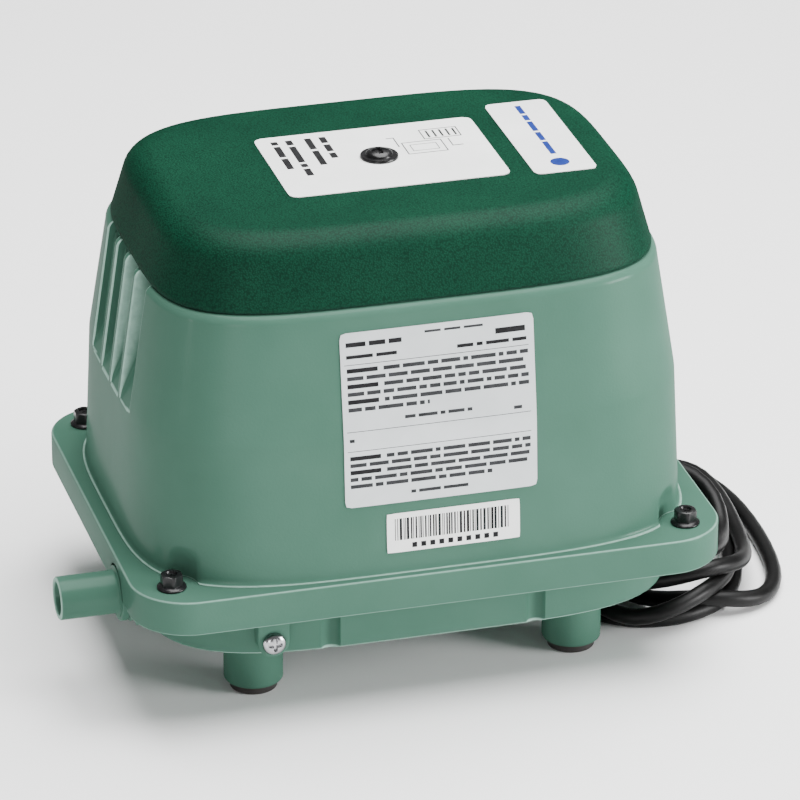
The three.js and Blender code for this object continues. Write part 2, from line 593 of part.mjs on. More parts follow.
const makePumpFrame = () => {
  const base = box(-blockFace, blockFace, -FRAME_HALF_WIDE, FRAME_HALF_WIDE, baseZ, baseZ + BASE_THICK)
    .subtract(box(-34, 34, -18, 18, baseZ - 1, baseZ + BASE_THICK + 1));
  const blocks = [-1, 1].map((side) => {
    const x0 = side > 0 ? blockX : -blockFace;
    const ring = bar(x0, x0 + BLOCK_DEPTH, 0, coreZ, BLOCK_DIAMETER / 2, 24);
    const foot = box(x0, x0 + BLOCK_DEPTH, -34, 34, baseZ + 1, coreZ - 18);
    return ring.add(foot).subtract(bar(x0 - 1, x0 + BLOCK_DEPTH + 1, 0, coreZ, CHAMBER_DIAMETER / 2, 24));
  });
  return base.add(joinAll(blocks));
};

const makeDiaphragm = (side) => {
  const near = blockFace + GAP;
  const far = near + DIAPHRAGM_THICK;
  const disc = bar(near, far, 0, coreZ, BLOCK_DIAMETER / 2 - 3, 24)
    .subtract(bar(near - 1, far + 1, 0, coreZ, ROD_DIAMETER / 2 + GAP, 12));
  return side > 0 ? disc : disc.rotate([0, 0, 180]);
};

const makeCentrePlate = (side, outerFace) => {
  const near = outerFace ? headNear : blockFace - CENTRE_PLATE_THICK;
  const far = near + CENTRE_PLATE_THICK;
  const plate = bar(near, far, 0, coreZ, CENTRE_PLATE_RADIUS, 20)
    .subtract(bar(near - 1, far + 1, 0, coreZ, ROD_DIAMETER / 2 + GAP, 12));
  return side > 0 ? plate : plate.rotate([0, 0, 180]);
};

const makeRodNut = (side) => {
  const near = headNear + CENTRE_PLATE_THICK + GAP;
  const nut = bar(near, near + NUT_THICK, 0, coreZ, NUT_RADIUS, 6)
    .subtract(bar(near - 1, near + 5, 0, coreZ, ROD_DIAMETER / 2 + GAP, 12));
  return side > 0 ? nut : nut.rotate([0, 0, 180]);
};

const makeMagnetRod = () => bar(-blockFace - 8.4, blockFace + 8.4, 0, coreZ, ROD_DIAMETER / 2, 16)
  .add(box(-2, 2, -5.5, 5.5, coreZ - 17, coreZ + 17));
const makeMagnet = (side) => box(-9, 9, -5, 5, coreZ - 15, coreZ + 15)
  .subtract(bar(-10, 10, 0, coreZ, ROD_DIAMETER / 2 + GAP, 12))
  .translate([side * MAGNET_X, 0, 0]);

const makeCore = (side) => {
  const yokeFront = CORE_BACK - CORE_YOKE;
  const low = coreZ - CORE_HALF_TALL;
  const high = coreZ + CORE_HALF_TALL;
  const yoke = box(-CORE_HALF_LONG, CORE_HALF_LONG, yokeFront, CORE_BACK, low, high);
  const legs = [-CORE_LEG_X, 0, CORE_LEG_X].map(
    (x) => box(x - CORE_LEG_HALF, x + CORE_LEG_HALF, CORE_FACE, yokeFront + 1, low, high));
  const shoes = box(-CORE_LEG_X - 1, CORE_LEG_X + 1, yokeFront - 6, yokeFront, baseZ + BASE_THICK + GAP, low + 1);
  const core = joinAll([yoke, ...legs, shoes]);
  return side > 0 ? core : core.rotate([0, 0, 180]);
};
const makeCoil = (side) => {
  const boreLong = CORE_LEG_HALF + GAP;
  const boreTall = CORE_HALF_TALL + GAP;
  const winding = box(-WINDING_HALF_LONG, WINDING_HALF_LONG, CORE_FACE + 2, 29,
    coreZ - WINDING_HALF_TALL, coreZ + WINDING_HALF_TALL)
    .subtract(box(-boreLong, boreLong, 0, 40, coreZ - boreTall, coreZ + boreTall));
  return side > 0 ? winding : winding.rotate([0, 0, 180]);
};

// the head: a cup over the diaphragm, a valve wall across it, and two chambers behind that wall
const makeHead = (side) => {
  const far = headNear + HEAD_DEPTH;
  const head = bar(headNear, far, 0, coreZ, BLOCK_DIAMETER / 2, 24)
    .subtract(bar(headNear - 1, valvePlateX, 0, coreZ, CHAMBER_DIAMETER / 2, 24))
    .subtract(box(valvePlateX + VALVE_WALL, far + 1, -24, 24, coreZ + 2, coreZ + 28))
    .subtract(box(valvePlateX + VALVE_WALL, far + 1, -24, 24, coreZ - 28, coreZ - 2))
    .subtract(bar(valvePlateX - 1, valvePlateX + VALVE_WALL + 1, -VALVE_Y, suctionZ, PORT_RADIUS, 16))
    .subtract(bar(valvePlateX - 1, valvePlateX + VALVE_WALL + 1, VALVE_Y, dischargeZ, PORT_RADIUS, 16))
    .subtract(post(elbowX, 0, coreZ - 50, coreZ - 20, HOSE_BORE_RADIUS));
  return side > 0 ? head : head.rotate([0, 0, 180]);
};
const makeHeadLid = (side) => {
  const near = headNear + HEAD_DEPTH + GAP;
  const lid = bar(near, near + LID_THICK, 0, coreZ, BLOCK_DIAMETER / 2 - 1, 24)
    .subtract(joinAll([-VALVE_Y, 0, VALVE_Y].map((y) => bar(near - 1, near + 4, y, suctionZ, 2.5, 12))));
  return side > 0 ? lid : lid.rotate([0, 0, 180]);
};
// rubber flap valves: each hangs from its top edge over one port
const makeFlap = (side, y, z, x) => {
  const flap = box(x, x + FLAP_THICK, y - FLAP_HALF, y + FLAP_HALF, z - FLAP_HALF, z + FLAP_HALF + FLAP_THICK);
  return side > 0 ? flap : flap.rotate([0, 0, 180]);
};
const makeAirHose = (side) => {
  const top = coreZ - BLOCK_DIAMETER / 2 - 1;
  const hose = post(elbowX, 0, trayBottom - 4, top + 1, HOSE_RADIUS)
    .subtract(post(elbowX, 0, trayBottom - 5, top + 2, HOSE_BORE_RADIUS));
  return side > 0 ? hose : hose.rotate([0, 0, 180]);
};

const makeSafetySwitch = () => box(-8, 8, -66, -52, baseZ + 11, baseZ + 28)
  .add(box(-10, 10, -67, -47, baseZ + 6.5, baseZ + 12))
  .add(box(-10, 10, -FRAME_HALF_WIDE - GAP - 1.5, -FRAME_HALF_WIDE - GAP, baseZ - 2, baseZ + 8));
const makeSwitchLever = () => box(-7, 11, -51, -50.2, baseZ + 16, baseZ + 24)
  .add(post(-7, -50.6, baseZ + 15, baseZ + 25, 1));

// ---------------------------------------------------------------- cord
const exitX = tubX + GLAND_REACH;
const makeCordGland = () => {
  const collar = bar(tubX + GAP, tubX + 4, GLAND_Y, glandZ, 8.5, 20);
  const neck = bar(tubX - 8, tubX + 1, GLAND_Y, glandZ, 6, 20);
  const boot = bar(tubX + 3.5, exitX, GLAND_Y, glandZ, 6.6, 20, 5.0);
  return collar.add(neck).add(boot);
};

// the lead runs from the gland down to the top of the coil, and the tail from the coil to the plug
const leadRoute = [
  [exitX, GLAND_Y, glandZ], [148, 23.6, 40.3], [156, 20.5, 37], [162, 14, 32], [164.5, 6, 26], [164.5, -2, 23],
];
const plugEntry = [44, 127, 9.5];
const tailRoute = [
  plugEntry, [54, 127, 7.5], [66, 126.3, 4.6], [79, 123.5, CORD_DIAMETER / 2], [90, 117.5, CORD_DIAMETER / 2],
  [97.5, 108, CORD_DIAMETER / 2], [100.7, 96.5, CORD_DIAMETER / 2], [100.5, 84, CORD_DIAMETER / 2],
  [96, 69, CORD_DIAMETER / 2],
];

const cordTube = (route, steps) => {
  const path = new THREE.CatmullRomCurve3(route.map((p) => new THREE.Vector3(...p)), false, 'centripetal');
  const section = new THREE.Shape();
  for (let i = 0; i < CORD_SIDES; i += 1) {
    const angle = (i / CORD_SIDES) * 2 * Math.PI + Math.PI / CORD_SIDES;
    const radius = CORD_DIAMETER / 2;
    if (i === 0) section.moveTo(radius * Math.cos(angle), radius * Math.sin(angle));
    else section.lineTo(radius * Math.cos(angle), radius * Math.sin(angle));
  }
  const tube = new THREE.ExtrudeGeometry(section, { steps, extrudePath: path, bevelEnabled: false });
  return toSolid(tube);
};

// an oval of the coil: nearly straight sides and broad round ends
const coilOutline = (halfWide, halfLong, Path) => {
  const path = new Path();
  for (let i = 0; i < COIL_POINTS; i += 1) {
    const angle = (i / COIL_POINTS) * 2 * Math.PI;
    const across = halfWide * Math.cos(angle);
    const straight = (halfLong - halfWide) * Math.tanh(2 * Math.sin(angle)) / Math.tanh(2);
    const along = halfWide * Math.sin(angle) + straight;
    if (i === 0) path.moveTo(across, along);
    else path.lineTo(across, along);
  }
  return path;
};
const makeCordCoil = (grow) => {
  const outline = coilOutline(COIL_WIDE + grow, COIL_LONG + grow, THREE.Shape);
  outline.holes.push(coilOutline(COIL_WIDE - COIL_BAND - grow, COIL_LONG - COIL_BAND - grow, THREE.Path));
  return slab(outline, 0, COIL_HEIGHT + grow).rotate([0, 0, -COIL_LEAN]).translate([COIL_X, COIL_Y, 0]);
};

const makeLeadCord = () => cordTube(leadRoute, 7)
  .subtract(box(100, 220, -80, 80, -10, COIL_HEIGHT + GAP))
  .subtract(box(0, exitX + GAP, -80, 80, 0, 80));
const makeTailCord = () => cordTube(tailRoute, 12)
  .subtract(makeCordCoil(GAP))
  .subtract(box(0, plugEntry[0] + GAP, 100, 160, -5, 30));

const makePlug = () => {
  const [x, y, z] = plugEntry;
  const blades = [-6.35, 6.35].map((dy) => box(x - 53, x - 35, y + dy - 0.75, y + dy + 0.75, z - 1, z + 5.3));
  return joinAll([
    bar(x - 10, x, y, z, 8, 20, 5.2),
    roundSlabAt(x - 22.5, y, 13, 12.5, 4, 0, 20),
    ...blades,
    bar(x - 55, x - 35, y, z - 5, 2.4, 12),
  ]);
};

// ---------------------------------------------------------------- assembly
place('lower_housing', makeLowerHousing(), PAINT);
place('outlet_pipe', makeOutletPipe(), PAINT);
place('housing_gasket', makeGasket(), RUBBER);
place('upper_housing', makeUpperHousing(), PAINT);
bolts.forEach(([sx, sy], i) => {
  place(`flange_bolt_${i + 1}`, makeFlangeBolt(sx * boltX, sy * boltY), BLACK_STEEL);
  place(`rubber_foot_${i + 1}`, makeFoot(sx * LEG_X, sy * LEG_Y), RUBBER);
});
place('ground_screw', makeGroundScrew(), CHROME);
place('filter_cover', makeFilterCover(), COVER_PLASTIC);
place('filter_element', makeFilterElement(), FOAM);
place('cover_screw', makeCoverScrew(), BLACK_STEEL);
place('cover_screw_washer', makeScrewWasher(), RUBBER);
place('service_label', makeServiceLabel(), PAPER);
place('top_sticker', makeTopSticker(), PAPER);
place('rating_plate', makeRatingPlate(), PLATE);
place('barcode_label', makeBarcodeLabel(), PAPER);

place('tank_plate', makeTankPlate(), ALUMINIUM);
mountSpots.forEach(([x, y], i) => place(`rubber_mount_${i + 1}`, makeRubberMount(x, y), RUBBER));
place('pump_frame', makePumpFrame(), ALUMINIUM);
place('magnet_rod', makeMagnetRod(), ALUMINIUM);
[['left', -1], ['right', 1]].forEach(([name, side]) => {
  place(`magnet_${name}`, makeMagnet(side), MAGNET);
  place(`diaphragm_${name}`, makeDiaphragm(side), RUBBER);
  place(`inner_plate_${name}`, makeCentrePlate(side, false), ALUMINIUM);
  place(`outer_plate_${name}`, makeCentrePlate(side, true), ALUMINIUM);
  place(`rod_nut_${name}`, makeRodNut(side), BLACK_STEEL);
  place(`pump_head_${name}`, makeHead(side), NYLON);
  place(`head_lid_${name}`, makeHeadLid(side), NYLON);
  place(`suction_flap_${name}`, makeFlap(side, -VALVE_Y, suctionZ, suctionFlapX), RUBBER);
  place(`discharge_flap_${name}`, makeFlap(side, VALVE_Y, dischargeZ, dischargeFlapX), RUBBER);
  place(`air_hose_${name}`, makeAirHose(side), RUBBER);
});
[['front', -1], ['rear', 1]].forEach(([name, side]) => {
  place(`core_${name}`, makeCore(side), LAMINATION);
  place(`coil_${name}`, makeCoil(side), COPPER);
});
place('safety_switch', makeSafetySwitch(), NYLON);
place('switch_lever', makeSwitchLever(), CHROME);
place('cord_gland', makeCordGland(), RUBBER);
place('cord_lead', makeLeadCord(), RUBBER);
place('cord_coil', makeCordCoil(0), RUBBER);
place('cord_tail', makeTailCord(), RUBBER);
place('power_plug', makePlug(), RUBBER);

export default pump;
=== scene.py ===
"""Looks of a linear diaphragm air pump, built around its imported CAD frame.

Sizes are in millimetres about the middle of the housing flange, and to_frame() turns them into the
row's metres. The front carries the rating plate and faces -Y, and the outlet leaves towards -X.
"""
import json
import math
import random

import bmesh
import bpy
import numpy as np
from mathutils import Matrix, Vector


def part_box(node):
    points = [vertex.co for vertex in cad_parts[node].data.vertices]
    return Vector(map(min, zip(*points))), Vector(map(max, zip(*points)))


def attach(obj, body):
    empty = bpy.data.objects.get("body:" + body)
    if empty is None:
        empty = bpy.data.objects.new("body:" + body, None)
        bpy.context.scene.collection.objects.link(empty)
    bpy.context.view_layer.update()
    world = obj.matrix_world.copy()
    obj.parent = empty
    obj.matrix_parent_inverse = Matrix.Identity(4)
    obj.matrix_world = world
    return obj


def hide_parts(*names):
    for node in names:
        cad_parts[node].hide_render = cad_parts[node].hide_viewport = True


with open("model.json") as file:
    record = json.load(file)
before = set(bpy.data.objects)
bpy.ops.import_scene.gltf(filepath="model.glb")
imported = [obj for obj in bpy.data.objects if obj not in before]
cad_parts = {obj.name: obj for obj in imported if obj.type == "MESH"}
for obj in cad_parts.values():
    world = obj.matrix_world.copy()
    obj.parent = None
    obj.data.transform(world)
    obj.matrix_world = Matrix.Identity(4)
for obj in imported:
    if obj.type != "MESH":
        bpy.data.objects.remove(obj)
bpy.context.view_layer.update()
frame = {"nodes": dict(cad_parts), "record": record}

MM = 0.001
HOUSING_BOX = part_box("upper_housing")
MIDDLE_X = (HOUSING_BOX[0][0] + HOUSING_BOX[1][0]) / 2

# ---------------------------------------------------------------- sizes
SQUARENESS = 4.2                     # exponent of the rounded plan outline
FLANGE_HALF = (131.5, 100.5)
FLANGE_CORNER = 26
FLANGE_TOP = 67.3
SKIRT_BOTTOM = 51.5
PLATE_UNDER = 60.8                   # underside of the flange plate
WALL_FOOT = (123.5, 96.2)            # half length and half width at the flange
WALL_BREAK = (121.0, 92.3)           # and where the wall starts to lean in
WALL_SHOULDER = (113.5, 84.4)
BREAK_Z = 131.0
SHOULDER_Z = 182.5
SHOULDER_RADIUS = 4.7
DECK_TOP = SHOULDER_Z + SHOULDER_RADIUS
WALL_THICK = 3.5
BREAK_SOFTENING = 1.4                # half the height over which the wall's break is rounded
COLLAR_HALF = (102.0, 72.4)
COLLAR_HEIGHT = 9.0

LOUVRES = ((-35, -19), (-15, -2), (2, 15), (19, 35))
LOUVRE_FOOT_Z = 127.0
LOUVRE_FLOOR_X = 104.0
LOUVRE_ZONE_X = 95.0                 # the louvres lie further out than this
LOUVRE_SLOPE = math.tan(math.radians(25))

BOLT_AT = (114.7, 83.5)
POCKET_RADIUS = 11.5                 # how far the wall stands back from a bolt
POCKET_SPRING, POCKET_DOME = 75.0, 10.5     # where the pocket starts to close, and over what height
POCKET_TOP = 86.0
LEG_AT = (72.3, 55.0)
OUTLET_Y, OUTLET_Z = -50.0, 51.3
OUTLET_END = -157.5
OUTLET_RADIUS, OUTLET_BORE_RADIUS = 9.5, 7.0

COVER_RIM = (111.5, 82.0)
COVER_BOTTOM = DECK_TOP + 0.3
COVER_TOP = COVER_BOTTOM + 30.9
COVER_LEAN = math.radians(15)
COVER_ROUND = 14.0
COVER_WALL = 3.0

TUB_HALF = (118.5, 88.0)
TUB_BOTTOM = 29.5
TRAY_UNDER = 52.0
FLUTE_X, FLUTE_RADIUS = 46, 4.5
GROUND_X, GROUND_Z = -72, 38.5       # the earth terminal's middle
PAD_STANDOUT, PAD_HALF_THICK = 3.0, 3.5
GLAND_AT = (24.0, 41.0)              # place across and height of the cord's exit
GLAND_TIP_X = 140.5

CORD = 7.5
LABEL_UNDER, LABEL_FACE, PRINT_FACE = 0.12, 0.45, 0.48     # heights off the surface beneath
PLATE_FACE, PLATE_PRINT = 0.47, 0.5
HIGHLIGHT_LAYER = "painted_edge_highlight"            # how much painted highlight each point of a casting carries along its sharp edges

CAMERA_LENS, CAMERA_SENSOR = 263.05, 36
CAMERA_AROUND, CAMERA_ABOVE = math.radians(-15.58), math.radians(25.41)
CAMERA_AIM = (8.2, -4.0, 103.5)
CAMERA_DISTANCE = 2.5684             # metres
LIGHTS_AIM = (0.02, 0, 0.1)          # metres


def to_frame(points):
    """Millimetres about the flange's middle, as metres in the row's frame."""
    spots = np.array(points, float).reshape(-1, 3) * MM
    spots[:, 0] += MIDDLE_X
    return spots


def linked(name, data):
    """An object holding this data, in the scene."""
    made = bpy.data.objects.new(name, data)
    bpy.context.scene.collection.objects.link(made)
    return made


def look_along(thing, way):
    thing.rotation_mode = "QUATERNION"
    thing.rotation_quaternion = way.to_track_quat("-Z", "Y")


# ---------------------------------------------------------------- camera
def aim_camera():
    data = bpy.data.cameras.new("studio_camera")
    data.lens, data.sensor_width = CAMERA_LENS, CAMERA_SENSOR
    data.clip_start, data.clip_end = 0.1, 20
    camera = linked("studio_camera", data)
    level = math.cos(CAMERA_ABOVE)
    back = Vector((math.sin(CAMERA_AROUND) * level, -math.cos(CAMERA_AROUND) * level, math.sin(CAMERA_ABOVE)))
    camera.location = Vector(to_frame(CAMERA_AIM)[0]) + back * CAMERA_DISTANCE
    look_along(camera, -back)
    bpy.context.scene.camera = camera


aim_camera()


# ---------------------------------------------------------------- node helpers
def add(tree, kind, inputs=None, **settings):
    """A node with its settings, and with each input joined to a socket or set to a value."""
    made = tree.nodes.new(kind)
    for name, value in settings.items():
        setattr(made, name, value)
    for name, value in (inputs or {}).items():
        if isinstance(value, bpy.types.NodeSocket):
            tree.links.new(value, made.inputs[name])
        else:
            made.inputs[name].default_value = value
    return made


def new_material(name, **constants):
    material = bpy.data.materials.new(name)
    material.use_nodes = True
    shader = material.node_tree.nodes["Principled BSDF"]
    for socket, value in constants.items():
        shader.inputs[socket.replace("_", " ")].default_value = value
    return material, material.node_tree, shader


def place_of(tree):
    return add(tree, "ShaderNodeTexCoord").outputs["Object"]


def noise(tree, at, scale, detail=3.0):
    made = add(tree, "ShaderNodeTexNoise", {"Vector": at, "Scale": scale, "Detail": detail, "Roughness": 0.55})
    return made.outputs["Fac"]


def ramp(tree, fac, stops):
    """A colour ramp through (position, colour) stops; a bare number is a grey."""
    made = add(tree, "ShaderNodeValToRGB", {"Fac": fac})
    band = made.color_ramp
    while len(band.elements) < len(stops):
        band.elements.new(0.5)
    for element, (position, colour) in zip(band.elements, stops):
        element.position = position
        grey = isinstance(colour, (int, float))
        element.color = (colour, colour, colour, 1) if grey else (*colour, 1)
    return made.outputs["Color"]


def spread(tree, fac, low, high):
    made = add(tree, "ShaderNodeMapRange", {"Value": fac, "To Min": low, "To Max": high})
    return made.outputs["Result"]


def bump(tree, shader, height, distance):
    made = add(tree, "ShaderNodeBump", {"Height": height, "Distance": distance, "Strength": 1.0})
    tree.links.new(made.outputs["Normal"], shader.inputs["Normal"])


def feed(tree, shader, **sources):
    """Joins a source to each shader input named, with _ for its space."""
    for socket, source in sources.items():
        tree.links.new(source, shader.inputs[socket.replace("_", " ")])


def two_tone(tree, fac, dark, light):
    return ramp(tree, fac, ((0.3, dark), (0.7, light)))


def simple_finish(name, dark, light, roughness, patch, grain, relief, metal=0.0, **constants):
    """A finish whose colour and gloss drift in soft patches over a fine grained surface."""
    material, tree, shader = new_material(name, Metallic=metal, **constants)
    at = place_of(tree)
    drift = noise(tree, at, patch)
    feed(tree, shader, Base_Color=two_tone(tree, drift, dark, light), Roughness=spread(tree, drift, *roughness))
    bump(tree, shader, noise(tree, at, grain), relief)
    return material


# ---------------------------------------------------------------- finishes
def sea_green_paint():
    """Satin powder paint with a faint orange peel; its colour is lightened by a painted highlight along the sharp
    edges.
    """
    material, tree, shader = new_material("satin_sea_green_paint", Coat_Weight=0.1, Coat_Roughness=0.16,
                                          Metallic=0.06, Specular_IOR_Level=0.0)
    at = place_of(tree)
    body = two_tone(tree, noise(tree, at, 22), (0.044, 0.106, 0.076), (0.051, 0.118, 0.086))
    # painted highlight: the colour turns pale along the marked edges, patchy through a fine noise
    edge = add(tree, "ShaderNodeAttribute", attribute_name=HIGHLIGHT_LAYER).outputs["Fac"]
    highlight_amount = add(tree, "ShaderNodeMath", {0: edge, 1: spread(tree, noise(tree, at, 300), 0.45, 1.0)},
                 operation="MULTIPLY").outputs[0]
    mixed = add(tree, "ShaderNodeMix", {"Factor": highlight_amount}, data_type="RGBA")
    mixed.inputs["B"].default_value = (0.33, 0.52, 0.44, 1)
    tree.links.new(body, mixed.inputs["A"])
    feed(tree, shader, Base_Color=mixed.outputs["Result"],
         Roughness=spread(tree, noise(tree, at, 160), 0.34, 0.46))
    bump(tree, shader, noise(tree, at, 900, 2), 0.00006)
    return material


def grained_cover_plastic():
    """Dark green plastic moulded with a fine leather grain, with painted shade in the grain's hollows and a painted
    highlight on its raised pebbles.
    """
    material, tree, shader = new_material("grained_green_plastic", Specular_IOR_Level=0.0, Coat_Weight=0.12,
                                          Coat_Roughness=0.5)
    at = place_of(tree)
    warp = add(tree, "ShaderNodeTexNoise", {"Vector": at, "Scale": 420.0, "Detail": 1.0})
    push = add(tree, "ShaderNodeVectorMath", {0: warp.outputs["Color"], "Scale": 0.0009}, operation="SCALE")
    moved = add(tree, "ShaderNodeVectorMath", {0: at, 1: push.outputs[0]}, operation="ADD").outputs[0]
    cells = add(tree, "ShaderNodeTexVoronoi", {"Vector": moved, "Scale": 1250.0}, feature="SMOOTH_F1")
    cells.inputs["Smoothness"].default_value = 0.35
    pebble = cells.outputs["Distance"]
    tone = two_tone(tree, noise(tree, at, 30), (0.0020, 0.025, 0.0135), (0.0030, 0.032, 0.017))
    # painted shade and highlight: darker in the grain's hollows, lighter on its pebbles
    grain_shade = ramp(tree, pebble, ((0.25, (1.3, 1.3, 1.3)), (0.75, (0.4, 0.4, 0.4))))
    mixed = add(tree, "ShaderNodeMix", {"Factor": 0.6}, data_type="RGBA", blend_type="MULTIPLY")
    tree.links.new(tone, mixed.inputs["A"])
    tree.links.new(grain_shade, mixed.inputs["B"])
    feed(tree, shader, Base_Color=mixed.outputs["Result"], Roughness=spread(tree, pebble, 0.36, 0.58))
    bump(tree, shader, pebble, -0.0002)
    return material


def striped_metal(name, colours, scale, direction, roughness, relief):
    """Stacked sheets or wound wire: fine even lines with a little stray variation."""
    material, tree, shader = new_material(name, Metallic=0.85)
    at = place_of(tree)
    lines = add(tree, "ShaderNodeTexWave", {"Vector": at, "Scale": scale, "Distortion": 0.4},
                bands_direction=direction)
    feed(tree, shader, Base_Color=ramp(tree, lines.outputs["Fac"], ((0.2, colours[0]), (0.8, colours[1]))),
         Roughness=spread(tree, noise(tree, at, 200), *roughness))
    bump(tree, shader, lines.outputs["Fac"], relief)
    return material


FINISH = {
    "painted_housing": sea_green_paint(),
    "cover_plastic": grained_cover_plastic(),
    "black_steel": simple_finish("black_oxide_steel", (0.003, 0.003, 0.003), (0.007, 0.007, 0.008),
                                 (0.22, 0.34), 120, 1500, 0.00004, Specular_IOR_Level=0.3),
    "rubber": simple_finish("moulded_rubber", (0.007, 0.005, 0.0045), (0.018, 0.013, 0.011),
                            (0.5, 0.68), 90, 1100, 0.00006),
    "cord_jacket": simple_finish("cord_jacket_black", (0.0014, 0.0014, 0.0014), (0.004, 0.004, 0.004),
                                 (0.36, 0.5), 60, 700, 0.00005, Specular_IOR_Level=0.16),
    "chrome_steel": simple_finish("bright_plated_steel", (0.30, 0.30, 0.31), (0.42, 0.42, 0.43),
                                  (0.14, 0.24), 150, 900, 0.00002, metal=1.0),
    "silver_plate": simple_finish("satin_silver_plate", (0.50, 0.53, 0.54), (0.57, 0.60, 0.61),
                                  (0.36, 0.46), 40, 1800, 0.00002, metal=0.35),
    "label_white": simple_finish("off_white_label_film", (0.70, 0.71, 0.70), (0.77, 0.78, 0.77),
                                 (0.38, 0.48), 40, 1200, 0.00002),
    "filter_foam": simple_finish("open_cell_foam", (0.02, 0.021, 0.023), (0.13, 0.135, 0.14),
                                 (0.85, 0.98), 700, 900, 0.0008),
    "cast_aluminium": simple_finish("bare_cast_aluminium", (0.42, 0.43, 0.44), (0.60, 0.61, 0.62),
                                    (0.38, 0.58), 90, 600, 0.00012, metal=0.9),
    "lamination": striped_metal("stacked_laminations", ((0.10, 0.10, 0.105), (0.24, 0.245, 0.25)),
                                320, "Y", (0.4, 0.6), 0.0001),
    "copper_winding": striped_metal("varnished_copper_wire", ((0.16, 0.05, 0.015), (0.62, 0.25, 0.09)),
                                    210, "Z", (0.22, 0.38), 0.0003),
    "magnet": simple_finish("plated_magnet", (0.10, 0.105, 0.11), (0.16, 0.165, 0.17),
                            (0.2, 0.34), 150, 800, 0.00003, metal=0.9),
    "nylon": simple_finish("glass_filled_nylon", (0.018, 0.02, 0.023), (0.04, 0.043, 0.048),
                           (0.45, 0.62), 140, 1000, 0.00008),
}
PRINT_INK = simple_finish("black_print_ink", (0.006, 0.006, 0.0065), (0.014, 0.014, 0.015),
                          (0.5, 0.6), 300, 1500, 0.00001, Specular_IOR_Level=0.1)
SOFT_INK = simple_finish("grey_print_ink", (0.018, 0.019, 0.02), (0.034, 0.035, 0.037),
                         (0.5, 0.6), 300, 1500, 0.00001, Specular_IOR_Level=0.1)
BLUE_INK = simple_finish("blue_print_ink", (0.008, 0.02, 0.13), (0.012, 0.03, 0.18),
                         (0.45, 0.55), 300, 1500, 0.00001, Specular_IOR_Level=0.1)
BLADE_METAL = simple_finish("nickel_plated_brass", (0.62, 0.56, 0.44), (0.74, 0.69, 0.58),
                            (0.2, 0.32), 150, 900, 0.00002, metal=1.0)

for part in frame["record"]["subparts"]:
    shown = frame["nodes"][part["node"]].data
    shown.materials.clear()
    shown.materials.append(FINISH[part["material_slot"]])


# ---------------------------------------------------------------- mesh helpers
class Shells:
    """Closed shells gathered as one piece; faces keep a material number and points how much painted edge highlight
    they carry.
    """

    def __init__(self):
        self.points, self.faces, self.tones, self.edges = [], [], [], []

    def take(self, points, faces, tone=0, edges=None):
        start = sum(len(block) for block in self.points)
        self.points.append(np.array(points, float).reshape(-1, 3))
        self.edges.append(np.zeros(len(self.points[-1])) if edges is None else np.array(edges, float).ravel())
        self.faces += [tuple(int(i) + start for i in face) for face in faces]
        self.tones += [tone] * len(faces)
        return self


def finished_mesh(name, mesh, materials, sharp=38):
    """Merges doubles, turns every shell outwards and shades it, with sharp edges past an angle."""
    shape = bmesh.new()
    shape.from_mesh(mesh)
    bmesh.ops.remove_doubles(shape, verts=shape.verts, dist=2e-6)
    bmesh.ops.dissolve_degenerate(shape, edges=shape.edges, dist=1e-7)
    bmesh.ops.recalc_face_normals(shape, faces=shape.faces)
    shape.to_mesh(mesh)
    shape.free()
    for material in materials:
        mesh.materials.append(material)
    mesh.shade_smooth()
    mesh.set_sharp_from_angle(angle=math.radians(sharp))
    return linked(name, mesh)


def piece(name, shells, materials, sharp=38):
    mesh = bpy.data.meshes.new(name)
    mesh.from_pydata(to_frame(np.vstack(shells.points)).tolist(), [], shells.faces)
    mesh.polygons.foreach_set("material_index", shells.tones)
    # each point's share of the painted edge highlight
    layer = mesh.attributes.new(HIGHLIGHT_LAYER, "FLOAT", "POINT")
    layer.data.foreach_set("value", np.concatenate(shells.edges))
    return finished_mesh(name, mesh, materials, sharp)


def ring_highlights(rings, columns, highlight):
    """How much painted highlight each point carries where whole rings are edges: {ring number: amount}."""
    layer = np.zeros((rings, columns))
    for ring, amount in highlight.items():
        layer[ring] = amount
    return layer


def settle_in(made, body, slot, *nodes):
    """Sets a piece under its body and hides the CAD nodes that it stands for; its slot is not used."""
    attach(made, body)
    if nodes:
        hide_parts(*nodes)
    return made


def settled_piece(name, shells, body, slot, *nodes, inks=(), sharp=38):
    """A piece in its slot's own finish, settled in; the inks follow as its further materials."""
    return settle_in(piece(name, shells, [FINISH[slot], *inks], sharp), body, slot, *nodes)


def wire(name, runs, radius, roundness, finish, *nodes):
    """Round wire or cord through runs of points, settled in on the housing."""
    data = bpy.data.curves.new(name, "CURVE")
    data.dimensions, data.bevel_depth, data.bevel_resolution = "3D", radius * MM, roundness
    data.use_fill_caps = True
    for run in runs:
        spline = data.splines.new("POLY")
        spline.points.add(len(run) - 1)
        for point, spot in zip(spline.points, to_frame(run)):
            point.co = (*spot, 1)
        spline.use_smooth = True
    data.materials.append(FINISH[finish])
    return settle_in(linked(name, data), "housing", "cord_jacket", *nodes)


def full_turn(steps):
    return np.arange(steps) / steps * 2 * math.pi


def at_height(flat, height):
    """Flat points, all at one height."""
    return np.column_stack((flat, np.full(len(flat), float(height))))


def grid_faces(rows, columns, wrap_rows=False):
    """Faces of a grid whose rows are closed rings, and whose last row may join its first."""
    faces = []
    for row in range(rows if wrap_rows else rows - 1):
        above = (row + 1) % rows
        for column in range(columns):
            beside = (column + 1) % columns
            faces.append((row * columns + column, row * columns + beside,
                          above * columns + beside, above * columns + column))
    return faces


